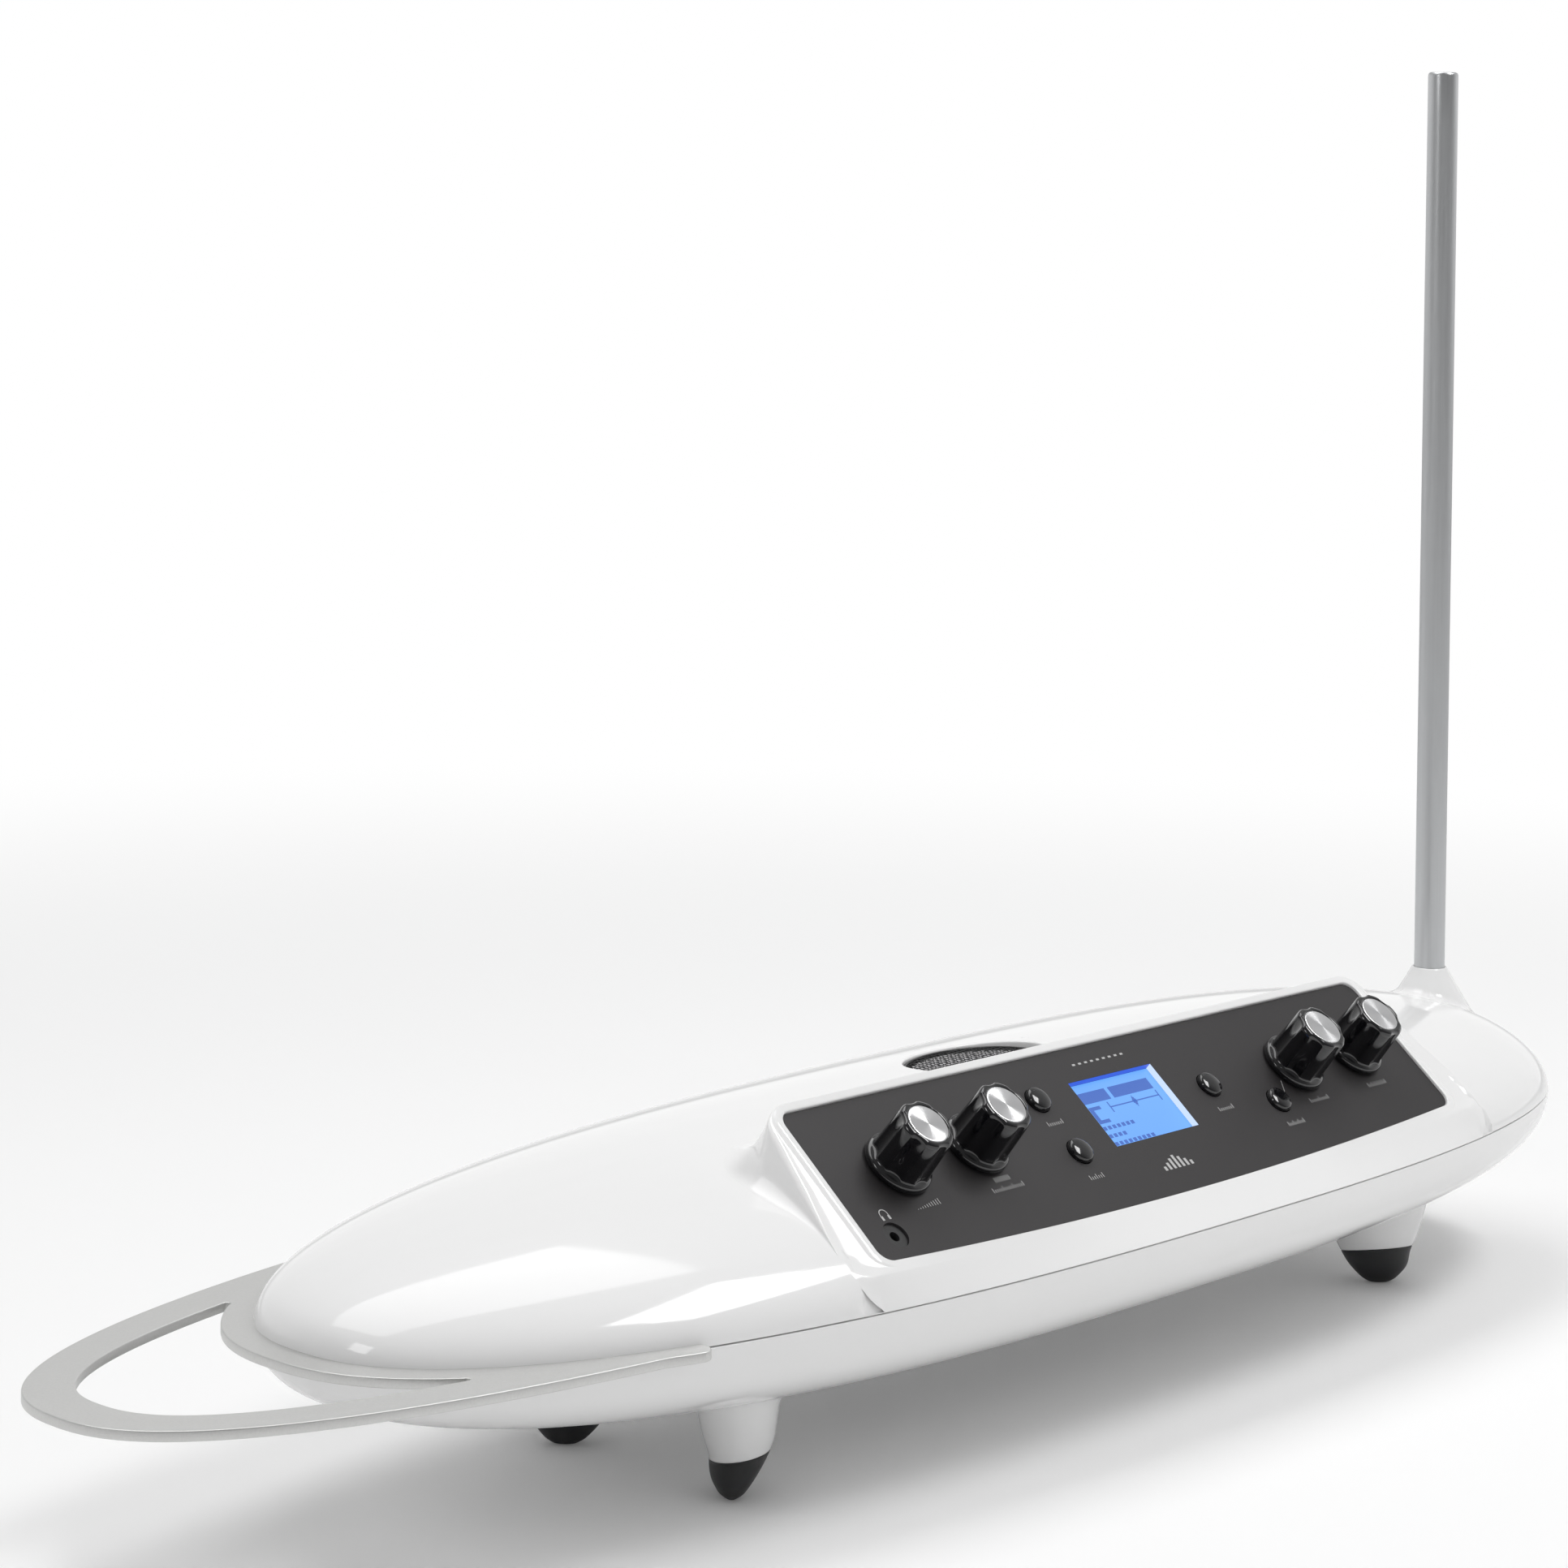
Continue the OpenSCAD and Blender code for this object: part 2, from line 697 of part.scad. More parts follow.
// Knobs: fluted grip on a round skirt, with a recessed metal disc on top
knob_us = [volume_u, correction_u, amount_u, presets_u];
nut_room_r = 7;
nut_room_top = 5.6;
shaft_top = knob_top - disc_t - 1.6;
module knob(u, top) {
  color(black)
    on_panel(u, knob_v, 0)
      difference() {
        union() {
          translate([0, 0, knob_gap])
            cylinder(r = knob_skirt_r, h = knob_skirt_h);
          difference() {
            translate([0, 0, knob_gap])
              cylinder(r = knob_grip_r, h = top - knob_gap);
            for (k = [0 : 5])
              rotate([0, 0, 60 * k + 30])
                translate([knob_grip_r + flute_r - flute_depth, 0, knob_gap + knob_skirt_h])
                  cylinder(r = flute_r, h = top);
          }
        }
        translate([0, 0, top - disc_t])
          cylinder(r = disc_r + fit_gap, h = disc_t + 1);
        cylinder(r = nut_room_r, h = nut_room_top);
        cylinder(r = shaft_r + fit_gap, h = shaft_top - (knob_top - top) + 0.3);
      }
}

module disc(u, top) {
  color("silver")
    on_panel(u, knob_v, top - disc_t)
      cylinder(r = disc_r, h = disc_t);
}

module shaft(u, top) {
  low = -panel_t - bushing_low;
  color("silver")
    on_panel(u, knob_v, low)
      cylinder(r = shaft_r, h = shaft_top - (knob_top - top) - low);
}

presets_top = knob_top - 0.8;
module volume_knob() { knob(volume_u, knob_top); }
module correction_knob() { knob(correction_u, knob_top); }
module amount_knob() { knob(amount_u, knob_top); }
module presets_knob() { knob(presets_u, presets_top); }
module volume_disc() { disc(volume_u, knob_top); }
module correction_disc() { disc(correction_u, knob_top); }
module amount_disc() { disc(amount_u, knob_top); }
module presets_disc() { disc(presets_u, presets_top); }
module volume_shaft() { shaft(volume_u, knob_top); }
module correction_shaft() { shaft(correction_u, knob_top); }
module amount_shaft() { shaft(amount_u, knob_top); }
module presets_shaft() { shaft(presets_u, presets_top); }

// Parts between the panel and the control board
control_gap = 13.5;  // room from the panel's back to the control board
control_w = -panel_t - control_gap;
pot_box_h = 8;
bushing_low = 5.3;
washer_t = 0.5;
nut_t = 2;
module pot(u, w, d) {
  difference() {
    union() {
      on_panel(u - w / 2, knob_v - d / 2, control_w)
        cube([w, d, pot_box_h]);
      on_panel(u, knob_v, control_w + pot_box_h)
        cylinder(r = bushing_r, h = control_gap - pot_box_h + panel_t + washer_t + nut_t + 0.8);
    }
    on_panel(u, knob_v, -panel_t - bushing_low - 0.3)
      cylinder(r = shaft_r + fit_gap, h = 40);
  }
}

module pot_bodies() {
  color("#3a3d42")
    for (u = [volume_u, correction_u, amount_u])
      pot(u, 16, 17);
}

module encoder_body() {
  color("#55585e")
    pot(presets_u, 12.5, 13.5);
}

module ring_on_panel(u, w, r_out, h, sides) {
  on_panel(u, knob_v, w)
    difference() {
      cylinder(r = r_out, h = h, $fn = sides);
      translate([0, 0, -1])
        cylinder(r = bushing_r + fit_gap, h = h + 2);
    }
}

module pot_washers() {
  color("silver")
    for (u = knob_us)
      ring_on_panel(u, 0, 6, washer_t, 40);
}

module pot_nuts() {
  color("silver")
    for (u = knob_us)
      ring_on_panel(u, washer_t, 6.2, nut_t, 6);
}

// Push buttons: scale and root left of the display, setup and effect right of it
button_places = [[-42.9, 12.4], [-41.7, -9.8], [42.7, 2.2], [70.8, -10.4]];
switch_box = 7;
switch_h = 6;
stem_r = 1.6;
button_flange_t = 1;
module push_button(p) {
  stem_low = control_w + switch_h - 3.6;
  flange_top = -panel_t - slide_gap;
  dome_r = (pow(button_r, 2) + pow(button_dome, 2)) / (2 * button_dome);
  color(black)
    on_panel(p[0], p[1], 0) {
      translate([0, 0, flange_top - 0.01])
        cylinder(r = button_r, h = button_side - flange_top + 0.01);
      translate([0, 0, button_side])
        rotate_extrude()
          intersection() {
            translate([0, button_dome - dome_r])
              circle(r = dome_r, $fn = 160);
            square([button_r, button_dome]);
          }
      translate([0, 0, flange_top - button_flange_t])
        cylinder(r = button_flange_r, h = button_flange_t);
      translate([0, 0, stem_low])
        cylinder(r = stem_r, h = flange_top - button_flange_t - stem_low + 0.01);
    }
}

module scale_button() { push_button(button_places[0]); }
module root_button() { push_button(button_places[1]); }
module setup_button() { push_button(button_places[2]); }
module effect_button() { push_button(button_places[3]); }

module tact_switches() {
  color("#2b2d31")
    for (p = button_places)
      on_panel(p[0], p[1], control_w)
        difference() {
          translate([-switch_box / 2, -switch_box / 2, 0])
            cube([switch_box, switch_box, switch_h]);
          translate([0, 0, switch_h - 3.6 - button_travel - 0.3])
            cylinder(r = stem_r + fit_gap, h = 10);
        }
}

// Display stack under its window
display_w = 57;
display_h = 36;
module display_window() {
  color("#bfe2ff")
    on_panel(-window_w / 2 - 2, window_v - window_h / 2 - 2, -panel_t - lens_t)
      cube([window_w + 4, window_h + 4, lens_t]);
}

module display_module() {
  color("#3f8fe0")
    on_panel(-display_w / 2, window_v - display_h / 2, -panel_t - lens_t - display_t)
      cube([display_w, display_h, display_t]);
}

module display_header() {
  color("#101012")
    for (v = [-1, 1])
      on_panel(-20, window_v + v * 14 - 1.25, control_w)
        cube([40, 2.5, control_gap - lens_t - display_t]);
}

phones_u = -145;
phones_v = -21.2;
phones_nose_r = 4.7;
phones_nose_w = -0.9;
module phones_jack() {
  color(black)
    difference() {
      union() {
        on_panel(phones_u - 5, phones_v - 5.5, control_w)
          cube([10, 11, control_gap]);
        on_panel(phones_u, phones_v, -panel_t - 0.01)
          cylinder(r = phones_nose_r, h = panel_t + phones_nose_w);
      }
      on_panel(phones_u, phones_v, control_w + 1)
        cylinder(r = phones_r, h = control_gap + 5);
    }
}

control_half_w = 153;
control_low_v = -27.5;
control_high_v = 25.5;
spacer_r = 2.5;
spacer_places = [[-146, 20.5], [-60, 20.5], [60, 20.5], [146, -20], [24, -23], [-108, -22]];
module control_board() {
  color(board_green)
    difference() {
      on_panel(-control_half_w, control_low_v, control_w - board_t)
        cube([2 * control_half_w, control_high_v - control_low_v, board_t]);
      for (p = spacer_places)
        on_panel(p[0], p[1], control_w - 5)
          cylinder(r = screw_r + fit_gap, h = 10);
    }
}

module board_spacers() {
  color("gold")
    for (p = spacer_places)
      on_panel(p[0], p[1], control_w)
        difference() {
          cylinder(r = spacer_r, h = control_gap);
          translate([0, 0, -1])
            cylinder(r = screw_r + fit_gap, h = 8);
        }
}

module spacer_screws() {
  color("silver")
    for (p = spacer_places)
      on_panel(p[0], p[1], control_w - board_t) {
        cylinder(r = screw_r, h = 6);
        translate([0, 0, -1.5])
          cylinder(r = screw_head_r - 0.3, h = 1.5);
      }
}

// Speaker under the oval grille
module speaker_grille() {
  color(black)
    translate([0, grille_y, grille_low_z])
      difference() {
        ellipse_prism(grille_a, grille_b, grille_t);
        for (i = [-7 : 7], j = [-4 : 4])
          if (pow(i * mesh_pitch / (grille_a - 3), 2) + pow(j * mesh_pitch / (grille_b - 3), 2) < 1)
            translate([i * mesh_pitch - mesh_open / 2, j * mesh_pitch - mesh_open / 2, -1])
              cube([mesh_open, mesh_open, 5]);
      }
}

module grille_cloth() {
  color("#8b8b8b")
    translate([0, grille_y, grille_low_z - cloth_t])
      ellipse_prism(grille_a - grille_ledge - seat_gap, grille_b - grille_ledge - seat_gap, cloth_t);
}

module speaker_basket() {
  color("#2a2a2c")
    translate([0, grille_y, speaker_seat_z - 11])
      difference() {
        union() {
          translate([0, 0, 9.5])
            ellipse_prism(grille_a + speaker_flange - 0.5, grille_b + speaker_flange - 0.5, 1.5);
          cylinder(r = 19, h = 9.5);
        }
        translate([0, 0, 2])
          cylinder(r = 17.2, h = 20);
      }
}

module speaker_cone() {
  color("#1c1c1c")
    translate([0, grille_y, speaker_seat_z - 9])
      rotate_extrude()
        polygon([[0, 0], [8, 0], [17, 7.4], [17, 8.2], [7.6, 1], [0, 1]]);
}

module speaker_magnet() {
  color("#6b6e72")
    translate([0, grille_y, speaker_seat_z - 19])
      cylinder(r = 14, h = 8);
}

// Main board with everything that shows at the back
module main_board() {
  color(board_green)
    difference() {
      translate([-board_half_w, board_front_y, board_z])
        cube([2 * board_half_w, board_back_y - board_front_y, board_t]);
      for (sx = [-1, 1], y = board_post_ys)
        translate([sx * board_post_x, y, board_z - 1])
          cylinder(r = screw_r + fit_gap, h = 5);
    }
}

module main_board_screws() {
  color("silver")
    for (sx = [-1, 1], y = board_post_ys)
      translate([sx * board_post_x, y, board_z + board_t]) {
        cylinder(r = screw_head_r, h = screw_head_h);
        translate([0, 0, -7])
          cylinder(r = screw_r, h = 7.01);
      }
}

board_top = board_z + board_t;
header_v = -8;
header_y = -13;
header_h = 6;
header_half = 16;
module board_headers() {
  color(black) {
    translate([-header_half, header_y - 3, board_top])
      cube([2 * header_half, 6, header_h]);
    on_panel(-header_half, header_v - 3, control_w - board_t - header_h)
      cube([2 * header_half, 6, header_h]);
  }
}

// Flat cable between the two boards, as a bent strip seen along X
module ribbon_cable() {
  top = panel_yz(header_v, control_w - board_t - header_h);
  low = [header_y, board_top + header_h];
  t = 0.9;
  drop = 4;
  color("#9aa0a6")
    translate([-header_half + 2, 0, 0])
      rotate([90, 0, 90])
        linear_extrude(2 * header_half - 4)
          polygon([
            [top[0] - t * 0.77, top[1] - t * 0.64], [top[0] + 3.2, top[1] - drop],
            [low[0] - 1, low[1] + 7], [low[0] - t, low[1]], [low[0] + t, low[1]],
            [low[0] + t, low[1] + 8], [top[0] + 4.8, top[1] - drop + 0.5],
            [top[0] + t * 0.77, top[1] + t * 0.64]]);
}

output_xs = [-64, -40, -16];
usb_x = 10;
dc_x = 34;
power_x = 60;
plate_t = 2;
bushing_out_r = 4.6;
module along_y(x, y, z) {
  translate([x, y, z])
    rotate([-90, 0, 0])
      children();
}

module output_jacks() {
  depth = 24;
  jack_w = 15;
  jack_h = 2 * (rear_axis_z - board_top) - 1;
  color("#2b2d31")
    for (x = output_xs)
      difference() {
        union() {
          translate([x - jack_w / 2, rear_plate_y - wall - 0.6 - depth, board_top])
            cube([jack_w, depth, jack_h]);
          along_y(x, rear_plate_y - wall - 0.7, rear_axis_z)
            cylinder(r = bushing_out_r, h = wall + plate_t + 3.2);
        }
        along_y(x, rear_plate_y - depth, rear_axis_z)
          cylinder(r = output_r, h = depth + 10);
      }
}

module jack_nuts() {
  color("silver")
    for (x = output_xs)
      along_y(x, rear_plate_y + plate_t, rear_axis_z)
        difference() {
          cylinder(r = 7, h = 2, $fn = 6);
          translate([0, 0, -1])
            cylinder(r = bushing_out_r + fit_gap, h = 4);
        }
}

usb_w = 12;
usb_h = 11;
usb_mouth = 8.4;
module usb_socket() {
  color("silver")
    difference() {
      translate([usb_x - usb_w / 2, rear_plate_y - 18, board_top])
        cube([usb_w, 18 + plate_t - 0.2, usb_h]);
      difference() {
        translate([usb_x - usb_mouth / 2, rear_plate_y - 9, board_top + 1.5])
          cube([usb_mouth, 20, 7.8]);
        translate([usb_x - 3, rear_plate_y - 10, board_top + 1.5 + 5.6])
          cube([6, 9, 2.2]);
      }
    }
}

dc_w = 9;
dc_h = 11;
dc_r = 2.8;
module dc_inlet() {
  color("#202022")
    difference() {
      translate([dc_x - dc_w / 2, rear_plate_y - 14, board_top])
        cube([dc_w, 14 + plate_t - 0.2, dc_h]);
      difference() {
        along_y(dc_x, rear_plate_y - 9, board_top + 6)
          cylinder(r = dc_r, h = 20);
        along_y(dc_x, rear_plate_y - 10, board_top + 6)
          cylinder(r = 1, h = 11);
      }
    }
}

power_r = 3.9;
power_body_y = rear_plate_y - wall - 5;
module power_switch() {
  color("#202022")
    difference() {
      translate([power_x - 6.5, power_body_y - 16, board_top])
        cube([13, 16, 2 * (rear_axis_z - board_top) - 4]);
      along_y(power_x, power_body_y - 8, rear_axis_z)
        cylinder(r = 2 + fit_gap, h = 10);
    }
}

module power_button() {
  color(black) {
    along_y(power_x, power_body_y + power_travel + 0.4, rear_axis_z)
      cylinder(r = power_r, h = 11);
    along_y(power_x, power_body_y - 8 + power_travel + 0.4, rear_axis_z)
      cylinder(r = 2, h = 8.01);
  }
}

rear_screw_x = 81.5;
rear_plate_half = 85;
module rear_panel() {
  color("#1a1a1c")
    difference() {
      translate([-rear_plate_half, rear_plate_y, rear_low_z + 0.2])
        cube([2 * rear_plate_half, plate_t, rear_top_z - rear_low_z - 0.4]);
      for (x = output_xs)
        along_y(x, rear_plate_y - 1, rear_axis_z)
          cylinder(r = bushing_out_r + fit_gap, h = plate_t + 2);
      along_y(power_x, rear_plate_y - 1, rear_axis_z)
        cylinder(r = power_r + slide_gap, h = plate_t + 2);
      translate([usb_x - usb_w / 2 - 0.2, rear_plate_y - 1, board_top - 0.2])
        cube([usb_w + 0.4, plate_t + 2, usb_h + 0.4]);
      translate([dc_x - dc_w / 2 - 0.2, rear_plate_y - 1, board_top - 0.2])
        cube([dc_w + 0.4, plate_t + 2, dc_h + 0.4]);
      for (sx = [-1, 1])
        along_y(sx * rear_screw_x, rear_plate_y - 1, rear_axis_z)
          cylinder(r = screw_r + fit_gap, h = plate_t + 2);
    }
}

module rear_panel_screws() {
  color("silver")
    for (sx = [-1, 1])
      along_y(sx * rear_screw_x, 0, rear_axis_z) {
        translate([0, 0, rear_plate_y - wall])
          cylinder(r = screw_r, h = wall + plate_t);
        translate([0, 0, rear_plate_y + plate_t])
          cylinder(r = screw_head_r, h = 1.6);
      }
}

// Legs with rubber tips
pad_floor_a = 5;
pad_floor_b = 3.2;
pad_mid_a = 10.4;
pad_mid_b = 6.8;
pad_mid_z = leg_low_z * 0.45;
module legs() {
  color(white)
    difference() {
      at_feet()
        fin(leg_low_a, leg_low_b, leg_low_z, leg_top_a, leg_top_b, leg_top_z);
      at_feet() {
        cylinder(r = leg_screw_r + fit_gap, h = 40);
        cylinder(r = 4.2, h = leg_low_z + 4);
      }
    }
}

module foot_pads() {
  color(black)
    at_feet() {
      fin(pad_floor_a, pad_floor_b, 0, pad_mid_a, pad_mid_b, pad_mid_z);
      fin(pad_mid_a, pad_mid_b, pad_mid_z, leg_low_a, leg_low_b, leg_low_z);
    }
}

module leg_screws() {
  color("silver")
    for (sx = [-1, 1], sy = [-1, 1])
      translate([sx * foot_x, sy * foot_y, 0]) {
        translate([0, 0, leg_low_z + 4 - 2.4])
          cylinder(r = 3.6, h = 2.4);
        translate([0, 0, leg_low_z + 4])
          cylinder(r = leg_screw_r, h = leg_screw_top - leg_low_z - 4);
      }
}

module shell_screws() {
  color("silver")
    for (p = shell_screw_places)
      translate([p[0], p[1], 0]) {
        translate([0, 0, shell_screw_head_z - screw_head_h])
          cylinder(r = screw_head_r, h = screw_head_h);
        translate([0, 0, shell_screw_head_z])
          cylinder(r = screw_r, h = shell_screw_top - shell_screw_head_z);
      }
}

// Two wires inside: from the loop's screw and from the rod's socket to the main board
lead_r = 0.8;
module wire(pts) {
  for (i = [0 : len(pts) - 2])
    hull() {
      translate(pts[i])
        sphere(r = lead_r, $fn = 12);
      translate(pts[i + 1])
        sphere(r = lead_r, $fn = 12);
    }
}

module antenna_leads() {
  color("#c33a2c") {
    wire([[-loop_screw_x + loop_tab + lead_r + 0.05, loop_screw_y, seam_z], [-262, 2, seam_z - 8],
          [-128, 4, board_top + 8], [-board_half_w + 10, 6, board_top + lead_r + 0.05]]);
    wire([[rod_x - 9.3, 0, socket_low_z - 2.4], [rod_x - 40, 2, seam_z - 6],
          [140, 4, board_top + 8], [board_half_w - 10, 6, board_top + lead_r + 0.05]]);
  }
}

// Brass insert for a stand, pressed into the underside
module stand_insert() {
  color("gold")
    translate([0, 0, insert_low_z])
      difference() {
        cylinder(r = insert_r, h = stand_depth);
        translate([0, 0, -1])
          cylinder(r = stand_r, h = stand_depth + 2);
      }
}

placed() upper_shell();
placed() lower_shell();
placed() control_panel();
placed() volume_loop();
placed() pitch_rod();
placed() rod_socket();
placed() socket_nut();
placed() volume_knob();
placed() correction_knob();
placed() amount_knob();
placed() presets_knob();
placed() volume_disc();
placed() correction_disc();
placed() amount_disc();
placed() presets_disc();
placed() volume_shaft();
placed() correction_shaft();
placed() amount_shaft();
placed() presets_shaft();
placed() pot_bodies();
placed() encoder_body();
placed() pot_washers();
placed() pot_nuts();
placed() scale_button();
placed() root_button();
placed() setup_button();
placed() effect_button();
placed() tact_switches();
placed() display_window();
placed() display_module();
placed() display_header();
placed() phones_jack();
placed() control_board();
placed() board_spacers();
placed() spacer_screws();
placed() speaker_grille();
placed() grille_cloth();
placed() speaker_basket();
placed() speaker_magnet();
placed() speaker_cone();
placed() main_board();
placed() main_board_screws();
placed() board_headers();
placed() ribbon_cable();
placed() output_jacks();
placed() jack_nuts();
placed() usb_socket();
placed() dc_inlet();
placed() power_switch();
placed() power_button();
placed() rear_panel();
placed() rear_panel_screws();
placed() legs();
placed() foot_pads();
placed() leg_screws();
placed() shell_screws();
placed() loop_screws();
placed() antenna_leads();
placed() stand_insert();
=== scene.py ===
# %% [markdown]
# # A tabletop theremin, dressed for a studio picture
#
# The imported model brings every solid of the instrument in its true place. This lesson
# adds what solids from a kernel don't have: smooth highlights, soft edges and finishes.
# Each new piece is a surface computed with numpy, in millimetres from the hull's middle,
# and then stored in metres where the solids are.

# %% Load the frame
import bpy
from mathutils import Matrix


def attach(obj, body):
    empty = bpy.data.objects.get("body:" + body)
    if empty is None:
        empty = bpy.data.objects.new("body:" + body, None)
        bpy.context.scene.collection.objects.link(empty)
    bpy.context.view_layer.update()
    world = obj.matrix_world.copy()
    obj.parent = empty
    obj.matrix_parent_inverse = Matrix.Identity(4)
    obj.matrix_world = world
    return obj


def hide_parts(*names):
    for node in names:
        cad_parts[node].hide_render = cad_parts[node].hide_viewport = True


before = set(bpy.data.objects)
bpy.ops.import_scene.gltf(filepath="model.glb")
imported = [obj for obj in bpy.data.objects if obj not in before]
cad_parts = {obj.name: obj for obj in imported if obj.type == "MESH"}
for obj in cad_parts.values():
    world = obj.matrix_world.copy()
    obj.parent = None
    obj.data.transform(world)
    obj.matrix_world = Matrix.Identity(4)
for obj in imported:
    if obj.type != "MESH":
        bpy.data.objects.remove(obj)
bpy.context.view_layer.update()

import math

import bpy
import numpy as np
from mathutils import Quaternion, Vector

# %% [markdown]
# ## Sizes
#
# The hull is a superellipse seen from above, from the front and from the side. The same
# numbers shape the solids, so the smooth surfaces lie on them. The instrument's origin is
# under the middle of its whole length, while the hull's middle lies a little to the right.

# %% Sizes of the instrument, in millimetres
MIDDLE_X = 62.7
HULL_LEFT, HULL_RIGHT, HALF_DEPTH = 325.0, 288.0, 96.5
SEAM_Z, RISE, DROP = 64.8, 38.0, 41.0
PLAN_N, LONG_N = (2.4, 2.8), (2.65, 3.2)
BACK_N, FRONT_N = 2.2, 1.85
TILT = math.radians(39.5)
PANEL_Y, PANEL_Z = -57.1, 95.6
PANEL_W, PANEL_H, BULGE, CORNER = 158.0, 29.3, 5.0, 5.0
RIM, RIM_TOP, DRAFT, BACK_FOOT_Y = 4.5, 1.0, 0.3, -14.0
ROD_X, ROD_R, CONE_TOP, ROD_TOP = 266.5, 6.0, 101.5, 457.5
SEAM_GAP = 0.2


def spow(value, power):
    """The power of a number's size, with the number's sign kept."""
    return np.sign(value) * np.abs(value) ** power


def reach(x, grow=0.0):
    """Length of the hull on the side of x, in millimetres."""
    return np.where(x < 0, HULL_LEFT, HULL_RIGHT) + grow


def half_depth(x, grow=0.0):
    """Half of the hull's depth at x: b (1 - |x/a|^n)^(1/n), with its own n on each side."""
    share = np.clip(np.abs(x) / reach(x, grow), 0, 1)
    n = np.where(x < 0, *PLAN_N)
    return (HALF_DEPTH + grow) * (1 - share**n) ** (1 / n)


def half_rise(x, rise, grow=0.0):
    """Height of the crown over the seam, or depth of the keel under it, at x."""
    share = np.clip(np.abs(x) / reach(x, grow), 0, 1)
    n = np.where(x < 0, *LONG_N)
    return (rise + grow) * (1 - share**n) ** (1 / n)


def crown_z(x, y):
    """Height of the upper hull at a place: the section's superellipse solved for z."""
    n = np.where(y < 0, FRONT_N, BACK_N)
    share = np.clip(np.abs(y) / np.maximum(half_depth(x), 1e-6), 0, 1)
    return SEAM_Z + half_rise(x, RISE) * (1 - share**n) ** (1 / n)


def panel_point(u, v, w):
    """A point of the tilted panel: u along it, v up its slope, w out of its face."""
    u, v, w = np.broadcast_arrays(np.asarray(u, float), v, w)
    y = PANEL_Y + v * math.cos(TILT) - w * math.sin(TILT)
    z = PANEL_Z + v * math.sin(TILT) + w * math.cos(TILT)
    return np.stack([u, y, z], axis=-1)


# %% [markdown]
# ## The camera
#
# The photographer stood low and to the left with a long lens. The picture was cropped so
# that the optical axis lies high and a little left of its middle, which a lens shift gives.

# %% Camera
def make_camera():
    """Camera from a position, a heading, a pitch and a small roll, with a lens shift."""
    heading, pitch, roll = math.radians(46.61), math.radians(-0.38), math.radians(0.97)
    forward = np.array([math.sin(heading) * math.cos(pitch),
                        math.cos(heading) * math.cos(pitch), -math.sin(pitch)])
    right_0 = np.array([math.cos(heading), -math.sin(heading), 0.0])
    up_0 = np.cross(right_0, forward)
    right = right_0 * math.cos(roll) + up_0 * math.sin(roll)
    up = -right_0 * math.sin(roll) + up_0 * math.cos(roll)
    data = bpy.data.cameras.new("camera")
    data.sensor_width = data.sensor_height = 36.0
    data.sensor_fit = "HORIZONTAL"
    data.lens = 91.37
    data.shift_x, data.shift_y = 0.0531, -0.3946
    data.clip_end = 20.0
    camera = bpy.data.objects.new("camera", data)
    place = np.eye(4)
    place[:3, 0], place[:3, 1], place[:3, 2] = right, up, -forward
    place[:3, 3] = (np.array([-1090.0, -875.6, 404.9]) + [MIDDLE_X, 0, 0]) / 1000
    camera.matrix_world = place.T.tolist()
    bpy.context.scene.collection.objects.link(camera)
    bpy.context.scene.camera = camera
    return camera


camera = make_camera()
print("camera at", tuple(round(v, 3) for v in camera.matrix_world.translation))

# %% [markdown]
# ## A helper for shader maths
#
# A finish is a small graph of nodes. Written as Python expressions it stays readable: the
# class below wraps one output socket, and adding or multiplying wraps adds Math nodes.


# %% Shader sockets as values
class Wire:
    """One output socket that can be used in Python expressions."""

    def __init__(self, tree, socket):
        self.tree, self.socket = tree, socket

    def math(self, operation, *others, clamp=False):
        """A Math node with this value as its first input."""
        node = self.tree.nodes.new("ShaderNodeMath")
        node.operation, node.use_clamp = operation, clamp
        for slot, value in enumerate((self,) + others):
            if isinstance(value, Wire):
                self.tree.links.new(value.socket, node.inputs[slot])
            else:
                node.inputs[slot].default_value = value
        return Wire(self.tree, node.outputs[0])

    def __add__(self, other): return self.math("ADD", other)
    def __radd__(self, other): return self.math("ADD", other)
    def __mul__(self, other): return self.math("MULTIPLY", other)
    def __rmul__(self, other): return self.math("MULTIPLY", other)
    def __sub__(self, other): return self.math("SUBTRACT", other)
    def __rsub__(self, other): return (self * -1.0).math("ADD", other)
    def __gt__(self, other): return self.math("GREATER_THAN", other)
    def __lt__(self, other): return self.math("LESS_THAN", other)


